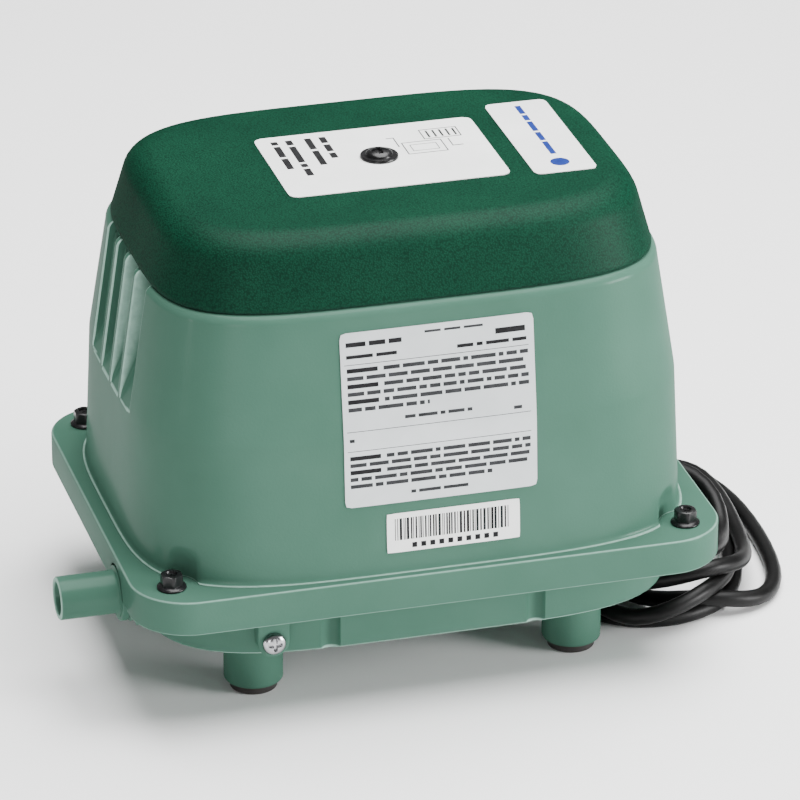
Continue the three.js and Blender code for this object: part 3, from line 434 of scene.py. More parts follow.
def lathe(profile, at=(0, 0, 0), axis="Z", steps=64):
    """A body turned from (radius, height) pairs; a run that starts and ends on the axis closes itself."""
    turns = full_turn(steps)
    rings = []
    for radius, height in profile:
        across, along = radius * np.cos(turns), radius * np.sin(turns)
        level = np.full(steps, float(height))
        order = {"Z": (across, along, level), "X": (level, across, along), "Y": (across, level, along)}[axis]
        rings.append(np.stack(order, 1) + np.array(at, float))
    on_axis = profile[0][0] == 0 and profile[-1][0] == 0
    return np.vstack(rings), grid_faces(len(profile), steps, not on_axis)


def arc(centre, radius, start, stop, steps=6):
    """Points of an arc as (across, up) pairs; angles in degrees, from +across towards +up."""
    turns = np.radians(np.linspace(start, stop, steps))
    return [(centre[0] + radius * math.cos(t), centre[1] + radius * math.sin(t)) for t in turns]


def round_rect(half, corner, steps=10):
    """Points and outward directions round a rectangle with round corners."""
    spots, outward = [], []
    for quarter, (sx, sy) in enumerate(((1, 1), (-1, 1), (-1, -1), (1, -1))):
        for turn in np.radians(np.linspace(0, 90, steps) + 90 * quarter):
            way = (math.cos(turn), math.sin(turn))
            spots.append((sx * (half[0] - corner) + corner * way[0], sy * (half[1] - corner) + corner * way[1]))
            outward.append(way)
    return np.array(spots), np.array(outward)


def swept_rim(half, corner, profile):
    """A closed ring: (outward offset, height) pairs carried round a rectangle with round corners."""
    spots, outward = round_rect(half, corner, 14)
    rings = [at_height(spots + outward * offset, height) for offset, height in profile]
    return np.vstack(rings), grid_faces(len(rings), len(spots), True)


def flat_plate(name, outlines, low, high, edge):
    """A flat plate with rounded edges; outlines that lie inside another one are its holes."""
    data = bpy.data.curves.new(name, "CURVE")
    data.dimensions, data.fill_mode = "2D", "BOTH"
    data.extrude, data.bevel_depth, data.bevel_resolution = (high - low) / 2 - edge, edge, 2
    data.offset = -edge
    for outline in outlines:
        spline = data.splines.new("POLY")
        spline.points.add(len(outline) - 1)
        for point, (x, y) in zip(spline.points, outline):
            point.co = (x, y, 0, 1)
        spline.use_cyclic_u = True
    holder = linked(name, data)
    ready = holder.evaluated_get(bpy.context.evaluated_depsgraph_get())
    mesh = bpy.data.meshes.new_from_object(ready)
    points = np.array([vertex.co for vertex in mesh.vertices]) + np.array((0, 0, (low + high) / 2))
    faces = [tuple(face.vertices) for face in mesh.polygons]
    bpy.data.objects.remove(holder)
    bpy.data.meshes.remove(mesh)
    return points, faces


def soft_ring(half, turns, power=SQUARENESS):
    """The bulging rectangle that the housing, tub and cover share, at given turns round it."""
    across, along = np.cos(turns), np.sin(turns)
    size = (np.abs(across) ** power + np.abs(along) ** power) ** (1 / power)
    return np.column_stack((half[0] * across / size, half[1] * along / size))


def even_turns(count):
    """Turns that crowd a little towards the corners, where the outline bends."""
    turns = full_turn(count)
    return turns - 0.13 * np.sin(4 * turns)


def soft_shell(rows, turns, shape=None):
    """A closed shell through soft rings: rows of (height, half length, half width)."""
    points = np.vstack([at_height(soft_ring((half_x, half_y), turns), height) for height, half_x, half_y in rows])
    if shape is not None:
        points = shape(points)
    return points, grid_faces(len(rows), len(turns), True)


# ---------------------------------------------------------------- mains cord
OVALS = (                            # each turn: middle x and y, half long, half wide, lean in degrees
    (123, 18, 70, 40, 8),
    (149, 26, 75, 42, 2),
    (124, 18, 78, 40, 12),
    (137, 21, 68, 37, 4),
    (124, 15, 62, 37, 8),
)
FIRST_TURN, LAST_TURN, POINTS_PER_TURN = 0.16, 4.72, 48
RISE = 0.25                          # steepest climb of the cord over itself
JOIN_REACH = 25                      # the coil doesn't climb over its own start within this
TAIL = ((44, 127, 9.5), (49, 127, 8.6), (54, 127, 7.5), (60, 126.8, 6), (66, 126.3, 4.7), (72.5, 125.2, 3.9),
        (79, 123.2, 3.75), (85, 120.2, 3.75), (90.2, 116, 3.75), (94.5, 110.5, 3.75), (97.6, 104, 3.75),
        (99.6, 97, 3.75), (100.6, 90, 3.75), (100.6, 83, 3.75), (99.2, 76, 3.75))
LEAD = ((158.9, -4, 23), (160.9, 4, 25.2), (161.3, 11, 28.6), (158.8, 17, 33), (153.5, 21.3, 37.4),
        (147, 23.5, 40.2), (140.5, 24, 41))


def coil_point(turn):
    """Where the coil runs after so many turns, each turn blending from one oval to the next."""
    at = min(max(turn - 0.5, 0), len(OVALS) - 1)
    low = int(at)
    high = min(low + 1, len(OVALS) - 1)
    x, y, long, wide, lean = [a + (b - a) * (at - low) for a, b in zip(OVALS[low], OVALS[high])]
    angle, lean = turn * 2 * math.pi, math.radians(lean)
    across = -wide * math.sin(angle)
    along = wide * math.cos(angle) + (long - wide) * math.tanh(2 * math.cos(angle)) / math.tanh(2)
    return np.array((x + across * math.cos(lean) + along * math.sin(lean),
                     y - across * math.sin(lean) + along * math.cos(lean)))


def resting_height(spot, lower, start):
    """How high the cord lies at a spot, on the floor or on the turns already laid."""
    height = CORD / 2
    for under in lower:
        apart = math.dist(spot, under[:2])
        joined = max(math.dist(spot, start), math.dist(under[:2], start)) < JOIN_REACH
        if apart < CORD and not joined:
            height = max(height, under[2] + math.sqrt(CORD ** 2 - apart ** 2))
    return height


def laid_coil():
    """The turns of spare cord, laid one after another, each one over whatever lies below it."""
    count = round((LAST_TURN - FIRST_TURN) * POINTS_PER_TURN)
    spots = [coil_point(FIRST_TURN + i / POINTS_PER_TURN) for i in range(count + 1)]
    lower = [np.array(point, float) for point in TAIL]
    laid = []
    for first in range(0, len(spots), POINTS_PER_TURN):
        block = spots[first:first + POINTS_PER_TURN]
        raw = [resting_height(spot, lower, spots[0]) for spot in block]
        run = np.concatenate(([0], np.cumsum([math.dist(a, b) for a, b in zip(block, block[1:])])))
        for i, spot in enumerate(block):
            height = max(top - RISE * abs(run[i] - run[j]) for j, top in enumerate(raw))
            laid.append([*spot, max(CORD / 2, height)])
        lower += [np.array(point) for point in laid[first:]]
    heights = softened(np.array([point[2] for point in laid]))
    return [(x, y, z) for (x, y, _), z in zip(laid, heights)]


def softened(values):
    """Three passes that draw each inner value towards its neighbours; the ends stay."""
    for _ in range(3):
        values[1:-1] = (values[:-2] + 2 * values[1:-1] + values[2:]) / 4
    return values


def cord_path():
    """From the gland to the plug, with the joins of its three lengths softened."""
    route = softened(np.array(list(TAIL) + laid_coil() + list(LEAD), float))
    route[:, 2] = np.maximum(route[:, 2], CORD / 2)
    return route[::-1]


def make_plug():
    """A moulded plug: a squarish grip that swells to the face, a ribbed neck and three pins."""
    x, y, z = TAIL[0]
    stations = [(-35.6, 0, 0, 2), (-35.6, 10.6, 8.0, 4.5), (-35, 12.0, 9.4, 4.5), (-34, 12.5, 9.9, 4.5),
                (-30, 12.5, 10, 4.5), (-26, 12.1, 9.7, 4.2), (-21, 11.2, 8.8, 3.8), (-16, 10.4, 8.0, 3.2),
                (-12.5, 9.6, 7.6, 2.8), (-10.5, 8.0, 7.0, 2.4), (-9.6, 6.8, 6.6, 2)]
    for rib in range(4):
        start = -9.4 + rib * 2.3
        wide = 6.5 - rib * 0.45
        stations += [(start, wide - 0.8, wide - 0.8, 2), (start + 0.4, wide, wide, 2),
                     (start + 1.4, wide - 0.1, wide - 0.1, 2), (start + 1.8, wide - 0.8, wide - 0.8, 2)]
    stations += [(0.2, 4.2, 4.2, 2), (0.4, 0, 0, 2)]
    steps, rings = 48, []
    for along, half_y, half_z, power in stations:
        ring = soft_ring((half_y, half_z), full_turn(steps), power)
        rings.append(np.column_stack((np.full(steps, x + along), ring[:, 0] + y, ring[:, 1] + max(z, half_z))))
    body = settled_piece("mains_plug", Shells().take(np.vstack(rings), grid_faces(len(rings), steps)),
                         "housing", "cord_jacket", "power_plug")
    pins = Shells()
    for side in (-6.35, 6.35):
        ring = np.array([(side - 0.75, -1), (side + 0.75, -1), (side + 0.75, 5.3), (side - 0.75, 5.3)])
        tip = np.array([(side - 0.3, -0.4), (side + 0.3, -0.4), (side + 0.3, 4.7), (side - 0.3, 4.7)])
        rows = []
        for along, shape in ((-34, ring), (-51.6, ring), (-53, tip)):
            rows.append(np.column_stack((np.full(4, x + along), shape[:, 0] + y, shape[:, 1] + z)))
        faces = grid_faces(3, 4) + [(3, 2, 1, 0), (8, 9, 10, 11)]
        pins.take(np.vstack(rows), faces)
    tip, root, earth_radius = x - 55, x - 34, 2.4
    earth = [(0, tip), *[(earth_radius - r, tip + h) for r, h in ((1.4, 0.2), (0.6, 0.8), (0, 2))],
             (earth_radius, root), (0, root)]
    pins.take(*lathe(earth, (0, y, z - 5), "X", 24))
    blades = piece("mains_plug_pins", pins, [BLADE_METAL], 30)
    settle_in(blades, "housing", "cord_jacket", "power_plug")
    return body, blades


cord_route = cord_path()
cord = wire("mains_cord", [cord_route], CORD / 2, 5, "cord_jacket", "cord_lead", "cord_coil", "cord_tail")
plug, plug_pins = make_plug()


def make_gland():
    """The strain relief: a locking collar and a tapered boot cut with rings."""
    y, z = GLAND_AT
    tub_x = TUB_HALF[0]
    profile = [(0, tub_x - 6), (6, tub_x - 6), (6, tub_x + 0.3), (8.0, tub_x + 0.3), (8.5, tub_x + 0.8),
               (8.5, tub_x + 3.2), (8.0, tub_x + 4.0), (6.9, tub_x + 4.2)]
    for ring in range(5):
        start = tub_x + 5 + ring * 3.2
        wide = 6.6 - ring * 0.3
        profile += [(wide, start), (wide, start + 1.9), (wide - 1, start + 2.2), (wide - 1, start + 2.9)]
    profile += [(5.1, GLAND_TIP_X - 1), (4.6, GLAND_TIP_X), (0, GLAND_TIP_X)]
    shells = Shells().take(*lathe(profile, (0, y, z), "X", 48))
    return settled_piece("cord_strain_relief", shells, "housing", "rubber", "cord_gland")


make_gland()


TIE_Y = -7.0
TIE_SIDE_X = 115.0                   # the tie holds the strands this side of the coil's middle
TIE_WIRE = 0.65


def make_twist_tie():
    """A thin wire tie wound twice round the inner turns, with its two tails twisted together."""
    near = cord_route[(abs(cord_route[:, 1] - TIE_Y) < 4) & (cord_route[:, 0] < TIE_SIDE_X)]
    low, high = near.min(axis=0), near.max(axis=0)
    middle = (low + high) / 2
    half = (high - low) / 2 + CORD / 2 + TIE_WIRE
    path = []
    for step in range(97):
        turn = step / 96 * 4 * math.pi - math.pi / 2
        across, up = math.cos(turn), math.sin(turn)
        size = (abs(across) ** 3 + abs(up) ** 3) ** (1 / 3)
        path.append((middle[0] + half[0] * across / size, TIE_Y - 1.4 + 2.8 * step / 96,
                     max(TIE_WIRE, middle[2] + half[2] * up / size)))
    tail_from = np.array((middle[0] + half[0] + 0.4, TIE_Y, middle[2] + 1))
    tails = []
    for phase in (0, math.pi):
        tails.append([tail_from + np.array((0.35 * step, 0.7 * math.cos(step * 0.7 + phase) - 0.2 * step,
                                            0.7 * math.sin(step * 0.7 + phase))) for step in range(28)])
    return wire("cord_twist_tie", [path, *tails], TIE_WIRE, 3, "black_steel", "cord_coil")


twist_tie = make_twist_tie()
tuple(to_frame((GLAND_TIP_X, *GLAND_AT))[0])


# ---------------------------------------------------------------- upper housing
def wall_half(z):
    """Half length and half width of the outer wall at a height, with a softened break line."""
    over = np.asarray(z, float) - BREAK_Z
    soften = BREAK_SOFTENING
    bend = np.where(over < -soften, 0, np.where(over > soften, over, (over + soften) ** 2 / (4 * soften)))
    halves = []
    for foot, at_break, shoulder in zip(WALL_FOOT, WALL_BREAK, WALL_SHOULDER):
        lower = (at_break - foot) / (BREAK_Z - FLANGE_TOP)
        upper = (shoulder - at_break) / (SHOULDER_Z - BREAK_Z)
        halves.append(at_break + lower * over + (upper - lower) * bend)
    return halves


def louvre_columns():
    """Where the columns of the end walls stand, across the pump, crowded at the louvres' edges."""
    edge_steps = (-0.8, -0.6, -0.35, -0.12, 0.0, 0.12, 0.4, 0.8, 1.3)
    columns = set()
    for y0, y1 in LOUVRES:
        columns.update(round(y0 + step, 3) for step in edge_steps)
        columns.update(round(y1 - step, 3) for step in edge_steps)
        columns.update(round(y0 + (y1 - y0) * k / 4, 3) for k in (1, 2, 3))
    for rib in (-17, 0, 17):
        columns.add(float(rib))
    columns.update((-40.0, -38.0, 38.0, 40.0))
    return sorted(columns)


END_COLUMNS = louvre_columns()
END_REACH = END_COLUMNS[-1]


def wall_ring(half_x, half_y):
    """One ring of the outer wall: level columns across both ends and even turns along the sides."""
    ends = np.array(END_COLUMNS)
    end_x = half_x * (1 - (np.abs(ends) / half_y) ** SQUARENESS) ** (1 / SQUARENESS)
    start = math.atan2(END_REACH / half_y, end_x[-1] / half_x)
    steps = np.linspace(0, 1, 178)[1:-1]
    turns = start + (math.pi - 2 * start) * steps
    turns = turns - 0.05 * np.sin(4 * turns)
    side = soft_ring((half_x, half_y), turns)
    right = np.column_stack((end_x, ends))
    return np.vstack((right, side, -right, -side))


def louvre_drop(y, depth):
    """How far the wall falls in at a place across the end, for the louvre's full depth there."""
    rounding, sheer, fillet = 0.8, 0.12, 1.2
    for y0, y1 in LOUVRES:
        inside = min(y - y0, y1 - y)
        if inside < -rounding:
            continue
        scale = min(1.0, depth / (rounding + fillet))
        if inside <= 0:
            return scale * (rounding - math.sqrt(max(rounding ** 2 - (inside + rounding) ** 2, 0)))
        if inside < sheer:
            return scale * rounding
        corner = inside - sheer
        if corner < fillet:
            return depth - scale * (fillet - math.sqrt(fillet ** 2 - (fillet - corner) ** 2))
        return depth
    return 0.0


def louvre_depth(x, y, z):
    """How far a wall point lies outside the louvres' floor, or -1 away from them."""
    if abs(y) > END_REACH or abs(x) < LOUVRE_ZONE_X or z < LOUVRE_FOOT_Z - 1:
        return -1.0
    return abs(x) - max(LOUVRE_FLOOR_X, WALL_BREAK[0] - (z - LOUVRE_FOOT_Z) * LOUVRE_SLOPE)


def louvred(point):
    """A wall point carried in to the louvre that it lies over."""
    x, y, z = point
    depth = louvre_depth(x, y, z)
    if depth <= 0:
        return point
    return (math.copysign(abs(x) - louvre_drop(y, depth), x), y, z)


def louvre_highlight(x, y, z):
    """Painted highlight along the ribs' narrow edges and the line where each scoop leaves the wall."""
    depth = louvre_depth(x, y, z)
    inside = max(min(y - y0, y1 - y) for y0, y1 in LOUVRES)
    if depth > 0.35 and -0.62 <= inside <= 0.05:
        return 1.0
    return 0.8 if inside > 0 and 0 <= depth < 0.45 else 0.0


def bolt_relief(point):
    """A wall point pushed back round the bolt beside it, under a domed top."""
    x, y, z = point
    if z > POCKET_TOP:
        return point
    closing = max(z - POCKET_SPRING, 0) / POCKET_DOME
    radius = POCKET_RADIUS * math.sqrt(max(1 - closing ** 2, 0))
    bolt = (math.copysign(BOLT_AT[0], x), math.copysign(BOLT_AT[1], y))
    away = (x - bolt[0], y - bolt[1])
    apart = math.hypot(*away)
    if apart > radius + 2:
        return point
    blend = 1.6
    gap = radius - apart
    push = gap if gap > blend else (gap + blend) ** 2 / (4 * blend) if gap > -blend else 0
    return (x + away[0] / apart * push, y + away[1] / apart * push, z)


FOOT_BEAD = ((1.5, -2), (1.5, 0.1), (1.35, 0.45), (1.0, 0.6), (0.65, 0.5), (0.4, 0.7), (0.12, 1.3), (0, 2.2))
# painted highlight along the bead at the wall's foot
FOOT_HIGHLIGHT = {2: 0.5, 3: 0.75, 4: 0.5}


def wall_rows():
    """Rows of the outer wall from the flange up over the shoulder to the collar: (z, half x, half y)."""
    rows = []
    for offset, height in FOOT_BEAD:
        half = wall_half(FLANGE_TOP + height)
        rows.append((FLANGE_TOP + height, half[0] + offset, half[1] + offset))
    for run in ((70.5, 88, 1.25), (89, 124, 3.5), (126, 136, 0.7), (136.5, SHOULDER_Z, 1.25)):
        rows += [(z, *wall_half(z)) for z in np.arange(*run)]
    for turn in np.radians(np.linspace(0, 90, 9)):
        inset = SHOULDER_RADIUS * (1 - math.cos(turn))
        rows.append((SHOULDER_Z + SHOULDER_RADIUS * math.sin(turn), WALL_SHOULDER[0] - inset,
                     WALL_SHOULDER[1] - inset))
    edge = (WALL_SHOULDER[0] - SHOULDER_RADIUS, WALL_SHOULDER[1] - SHOULDER_RADIUS)
    for share in (0.35, 0.7, 1):
        rows.append((DECK_TOP, edge[0] + (COLLAR_HALF[0] - 1 - edge[0]) * share,
                     edge[1] + (COLLAR_HALF[1] - 1 - edge[1]) * share))
    return rows


def make_wall():
    """The louvred wall, closed behind by an inner face."""
    outer, highlight = [], []
    for row, (z, half_x, half_y) in enumerate(wall_rows()):
        ring = wall_ring(half_x, half_y)
        outer.append([bolt_relief(louvred((x, y, z))) for x, y in ring])
        # painted highlight on the foot bead's rows and on the louvres' edges
        highlight.append([max(FOOT_HIGHLIGHT.get(row, 0), louvre_highlight(x, y, z)) for x, y in ring])
    inner = []
    for ring in outer[::-1][::6] + [outer[0]]:
        flat = np.array(ring)
        height = min(flat[0][2], DECK_TOP - 4)
        sizes = np.maximum(np.linalg.norm(flat[:, :2], axis=1), 1)
        inner.append(at_height(flat[:, :2] * (1 - WALL_THICK / sizes)[:, None], height))
    rings = outer + inner
    edges = np.concatenate((np.array(highlight).ravel(), np.zeros(len(inner) * len(outer[0]))))
    faces = grid_faces(len(rings), len(outer[0]), True)
    return np.vstack([np.array(ring) for ring in rings]), faces, edges


def outline_of(half, corner, at=(0, 0)):
    return round_rect(half, corner)[0] + np.array(at)


def circle_of(radius, steps=40):
    turns = full_turn(steps)
    return np.column_stack((radius * np.cos(turns), radius * np.sin(turns)))


# painted highlight along the flange rim's rounded top and lower edges
RIM_HIGHLIGHT = {2: 0.25, 3: 0.45, 4: 0.3, 8: 0.4}


def make_upper_housing():
    shells = Shells()
    points, faces, edges = make_wall()
    shells.take(points, faces, edges=edges)
    rim = [(-25.5, FLANGE_TOP), *arc((-1.1, FLANGE_TOP - 1.1), 1.1, 90, 0, 6),
           *arc((-0.9, SKIRT_BOTTOM + 0.9), 0.9, 0, -90, 4), *arc((-2.2, SKIRT_BOTTOM + 0.8), 0.8, -90, -180, 4),
           *arc((-4.5, PLATE_UNDER - 1.5), 1.5, 0, 90, 4), (-25.5, PLATE_UNDER)]
    points, faces = swept_rim(FLANGE_HALF, FLANGE_CORNER, rim)
    shells.take(points, faces, edges=ring_highlights(len(rim), len(points) // len(rim), RIM_HIGHLIGHT))
    turns = even_turns(200)
    collar = [(DECK_TOP + rise, COLLAR_HALF[0] - inset, COLLAR_HALF[1] - inset) for rise, inset in (
        (-2, 0), (COLLAR_HEIGHT - 0.6, 0), (COLLAR_HEIGHT, 0.6), (COLLAR_HEIGHT, 2.4), (COLLAR_HEIGHT - 0.6, 3),
        (-2, 3))]
    shells.take(*soft_shell(collar, turns))
    deck = soft_ring((COLLAR_HALF[0] - 1.2, COLLAR_HALF[1] - 1.2), even_turns(120))
    slots = [outline_of((24, 17), 6, (side * 46, 0)) for side in (-1, 1)]
    shells.take(*flat_plate("deck", [deck, *slots, circle_of(2.8)], DECK_TOP - 4, DECK_TOP, 0.5))
    boss = [(2.8, DECK_TOP - 1), (7.5, DECK_TOP - 1), (7.2, DECK_TOP + 2), (6.6, COVER_TOP - 11.6),
            (6.1, COVER_TOP - 11), (3.4, COVER_TOP - 11), (2.8, COVER_TOP - 11.6)]
    shells.take(*lathe(boss))
    edge = -FLANGE_HALF[0]
    lobe = [(9.8, edge), (12.3, edge), *[(12.3 + 0.7 * math.sin(t), edge + 0.7 - 0.7 * math.cos(t))
            for t in np.radians((30, 60, 90))], (13, edge + 3), (9.8, edge + 3)]
    shells.take(*lathe(lobe, (0, OUTLET_Y, OUTLET_Z), "X", 72))
    return settled_piece("upper_housing_casting", shells, "housing", "painted_housing", "upper_housing")


# ---------------------------------------------------------------- lower housing
def fluted(points):
    """Two upright half-round flutes in the front of the tub."""
    shaped = points.copy()
    front = points[:, 1] < -TUB_HALF[1] + 8
    for flute_x in (-FLUTE_X, FLUTE_X):
        across = points[:, 0] - flute_x
        reach = FLUTE_RADIUS ** 2 - across ** 2
        cut = -TUB_HALF[1] - 1 + np.sqrt(np.maximum(reach, 0))
        inside = front & (reach > 0) & (points[:, 1] < cut)
        shaped[inside, 1] = cut[inside]
    return shaped


def tub_turns():
    """Turns for the tub, crowded where the flutes stand."""
    turns = list(even_turns(180))
    for flute_x in (-FLUTE_X, FLUTE_X):
        for step in np.linspace(-5.6, 5.6, 29):
            x = (flute_x + step) / TUB_HALF[0]
            y = -(1 - abs(x) ** SQUARENESS) ** (1 / SQUARENESS)
            turns.append(math.atan2(y, x) % (2 * math.pi))
    return np.array(sorted(turn % (2 * math.pi) for turn in turns))


def make_tub():
    half_x, half_y = TUB_HALF
    rows = [(TUB_BOTTOM, 12, 9), (TUB_BOTTOM, half_x - 3.2, half_y - 3.2)]
    for inset, height in arc((3.2, TUB_BOTTOM + 3.2), 3.2, 270, 180, 7):
        rows.append((height, half_x - inset, half_y - inset))
    rows += [(z, half_x, half_y) for z in (36, 40, 45, 50, 53)]
    rows += [(53, half_x - 3.5, half_y - 3.5), (TUB_BOTTOM + 3.5, half_x - 4.5, half_y - 4.5),
             (TUB_BOTTOM + 3.5, 12, 9)]
    turns = tub_turns()
    points, faces = soft_shell(rows, turns, fluted)
    # painted highlight along the tub's rounded lower edge
    return points, faces, ring_highlights(len(rows), len(turns), {3: 0.5, 4: 1.0, 5: 0.7})


LEG_PROFILE = [(0, 8.3), (10.8, 8.3), (10.8, 4.2), (11.0, 4), *arc((11.6, 5.4), 1.4, 270, 360, 5), (13, 33), (0, 33)]
FOOT_PROFILE = [(0, 0.4), (7.2, 0.4), (7.8, 0), (9.4, 0), *arc((9.4, 1.1), 1.1, 270, 360, 5), (10.5, 7.7),
                (10.2, 8), (0, 8)]


def corner_spread(name):
    """A tree that sets one part at each corner of a rectangle."""
    tree = bpy.data.node_groups.new(name, "GeometryNodeTree")
    face = tree.interface
    face.new_socket("Geometry", in_out="INPUT", socket_type="NodeSocketGeometry")
    for label, kind in (("Part", "NodeSocketObject"), ("Spacing X", "NodeSocketFloat"),
                        ("Spacing Y", "NodeSocketFloat"), ("Middle X", "NodeSocketFloat"),
                        ("Finish", "NodeSocketMaterial")):
        face.new_socket(label, in_out="INPUT", socket_type=kind)
    face.new_socket("Geometry", in_out="OUTPUT", socket_type="NodeSocketGeometry")
    given = tree.nodes.new("NodeGroupInput").outputs
    corners = add(tree, "GeometryNodeMeshGrid", {"Size X": given["Spacing X"], "Size Y": given["Spacing Y"],
                                                 "Vertices X": 2, "Vertices Y": 2})
    shift = add(tree, "ShaderNodeCombineXYZ", {"X": given["Middle X"]})
    moved = add(tree, "GeometryNodeTransform", {"Geometry": corners.outputs["Mesh"],
                                                "Translation": shift.outputs["Vector"]})
    part = add(tree, "GeometryNodeObjectInfo", {"Object": given["Part"]})
    placed = add(tree, "GeometryNodeInstanceOnPoints", {"Points": moved.outputs["Geometry"],
                                                        "Instance": part.outputs["Geometry"]})
    real = add(tree, "GeometryNodeRealizeInstances", {"Geometry": placed.outputs["Instances"]})
    dressed = add(tree, "GeometryNodeSetMaterial", {"Geometry": real.outputs["Geometry"],
                                                    "Material": given["Finish"]})
    out = tree.nodes.new("NodeGroupOutput")
    tree.links.new(dressed.outputs["Geometry"], out.inputs["Geometry"])
    return tree


def grown(name, tree, values):
    """Runs a tree on a bare object and keeps its result as a plain mesh piece."""
    holder = linked(name + "_holder", bpy.data.meshes.new(name + "_holder"))
    modifier = holder.modifiers.new("grow", "NODES")
    modifier.node_group = tree
    for item in tree.interface.items_tree:
        if item.in_out == "INPUT" and item.name in values:
            modifier[item.identifier] = values[item.name]
    ready = holder.evaluated_get(bpy.context.evaluated_depsgraph_get())
    mesh = bpy.data.meshes.new_from_object(ready)
    mesh.name = name
    holder.modifiers.clear()
    bpy.data.objects.remove(holder)
    return finished_mesh(name, mesh, [])


CORNER_TREE = corner_spread("one_at_each_corner")


def seed_part(name, shells):
    """A single part about its own middle, used by a tree and then thrown away."""
    mesh = bpy.data.meshes.new(name)
    points = np.vstack(shells.points) * MM
    mesh.from_pydata(points.tolist(), [], shells.faces)
    return finished_mesh(name, mesh, [])


def at_corners(name, shells, spacing, slot, nodes):
    """One of a part at each corner of the housing, in its slot's finish."""
    seed = seed_part(name + "_seed", shells)
    values = {"Part": seed, "Spacing X": 2 * spacing[0] * MM, "Spacing Y": 2 * spacing[1] * MM,
              "Middle X": MIDDLE_X, "Finish": FINISH[slot]}
    made = grown(name, CORNER_TREE, values)
    bpy.data.objects.remove(seed)
    return settle_in(made, "housing", slot, *nodes)


def make_lower_housing():
    points, faces, edges = make_tub()
    shells = Shells().take(points, faces, edges=edges)
    tray = outline_of((127.9, 96.9), 22.4)
    shells.take(*flat_plate("tray", [tray, soft_ring((TUB_HALF[0] - 3.4, TUB_HALF[1] - 3.4), even_turns(120))],
                            TRAY_UNDER, TRAY_UNDER + 6, 0.6))
    tongue = [(-7.0, 0.0), (-7.0, 14.0), (7.0, 14.0), (7.0, 0.0),
              *[(7 * math.cos(t), 7 * math.sin(t)) for t in np.radians(np.linspace(-10, -170, 17))]]
    points, faces = flat_plate("ground_pad", [np.array(tongue)], -PAD_HALF_THICK, PAD_HALF_THICK, 0.7)
    pad_y = -TUB_HALF[1] - PAD_STANDOUT + PAD_HALF_THICK
    stood = np.column_stack((points[:, 0] + GROUND_X, pad_y - points[:, 2], points[:, 1] + GROUND_Z))
    shells.take(stood, [face[::-1] for face in faces])
    lug = [(-127.2, -69), (-114.5, -69), (-114.5, -66), (-127.2, -66)]
    shells.take(*flat_plate("outlet_lug", [np.array(lug)], 43.5, 53, 0.5))
    shells.take(*lathe([(9.8, -127.9), (12.6, -127.9), (13.5, -127), (13.5, -112), (9.8, -112)],
                       (0, OUTLET_Y, OUTLET_Z), "X", 48))
    settled_piece("lower_housing_casting", shells, "housing", "painted_housing", "lower_housing")
    at_corners("housing_legs", Shells().take(*lathe(LEG_PROFILE)), LEG_AT, "painted_housing", ["lower_housing"])
    at_corners("rubber_feet", Shells().take(*lathe(FOOT_PROFILE)), LEG_AT, "rubber",
               [f"rubber_foot_{i}" for i in (1, 2, 3, 4)])


def make_outlet():
    """The spigot, flared where it meets the skirt."""
    skirt, bore, outer = -FLANGE_HALF[0], OUTLET_BORE_RADIUS, OUTLET_RADIUS
    profile = [(bore, OUTLET_END + 0.8), (bore + 0.5, OUTLET_END), (outer - 0.5, OUTLET_END),
               (outer, OUTLET_END + 0.6), (outer, skirt - 1.6), (outer + 0.3, skirt - 0.9),
               (outer + 1.9, skirt - 0.4), (outer + 1.9, -112), (bore, -112)]
    points, faces = lathe(profile, (0, OUTLET_Y, OUTLET_Z), "X", 72)
    # painted highlight on the spigot's end rim
    shells = Shells().take(points, faces, edges=ring_highlights(len(profile), 72, {1: 0.6, 2: 0.8}))
    return settled_piece("outlet_spigot", shells, "housing", "painted_housing", "outlet_pipe")


make_upper_housing()
make_lower_housing()
make_outlet()


# ---------------------------------------------------------------- fasteners
def hex_prism(flats, low, high, chamfer):
    """A hexagon head with its top corners turned off."""
    turns = full_turn(48)
    apothem = flats / 2
    reach = apothem / np.cos((turns + math.pi / 6) % (math.pi / 3) - math.pi / 6)
    rows = [(low, 0), (low, reach), (high - chamfer, reach),
            (high - chamfer * 0.35, np.minimum(reach, apothem + 0.25)), (high, apothem - chamfer * 0.5),
            (high, 2.6), (high - 0.9, 2.2), (high - 0.9, 0)]
    rings = [at_height(np.column_stack((size * np.cos(turns), size * np.sin(turns))), z) for z, size in rows]
    return np.vstack(rings), grid_faces(len(rings), len(turns))


def block(x0, x1, y0, y1, z0, z1):
    corners = [(x, y, z) for z in (z0, z1) for x, y in ((x0, y0), (x1, y0), (x1, y1), (x0, y1))]
    return corners, [(3, 2, 1, 0), (4, 5, 6, 7), (0, 1, 5, 4), (1, 2, 6, 5), (2, 3, 7, 6), (3, 0, 4, 7)]


def make_flange_bolts():
    """Flanged hexagon screws: a dished brim, a turned hexagon and a sunk top."""
    seat = FLANGE_TOP + 0.1
    brim = [(0, seat), (6.0, seat), *arc((5.9, seat + 0.5), 0.5, 270, 400, 5), (4.6, seat + 1.75), (0, seat + 2.1)]
    shells = Shells().take(*lathe(brim, steps=48)).take(*hex_prism(8.7, seat + 1.2, seat + 6.6, 0.7))
    for along, across in ((2.0, 0.45), (0.45, 2.0)):
        shells.take(*block(-along, along, -across, across, seat + 5.4, seat + 5.9))
    shank = [(0, 53), (2.5, 53), (2.5, seat + 1), (0, seat + 1)]
    shells.take(*lathe(shank, steps=20))
    return at_corners("flange_screws", shells, BOLT_AT, "black_steel", [f"flange_bolt_{i}" for i in (1, 2, 3, 4)])


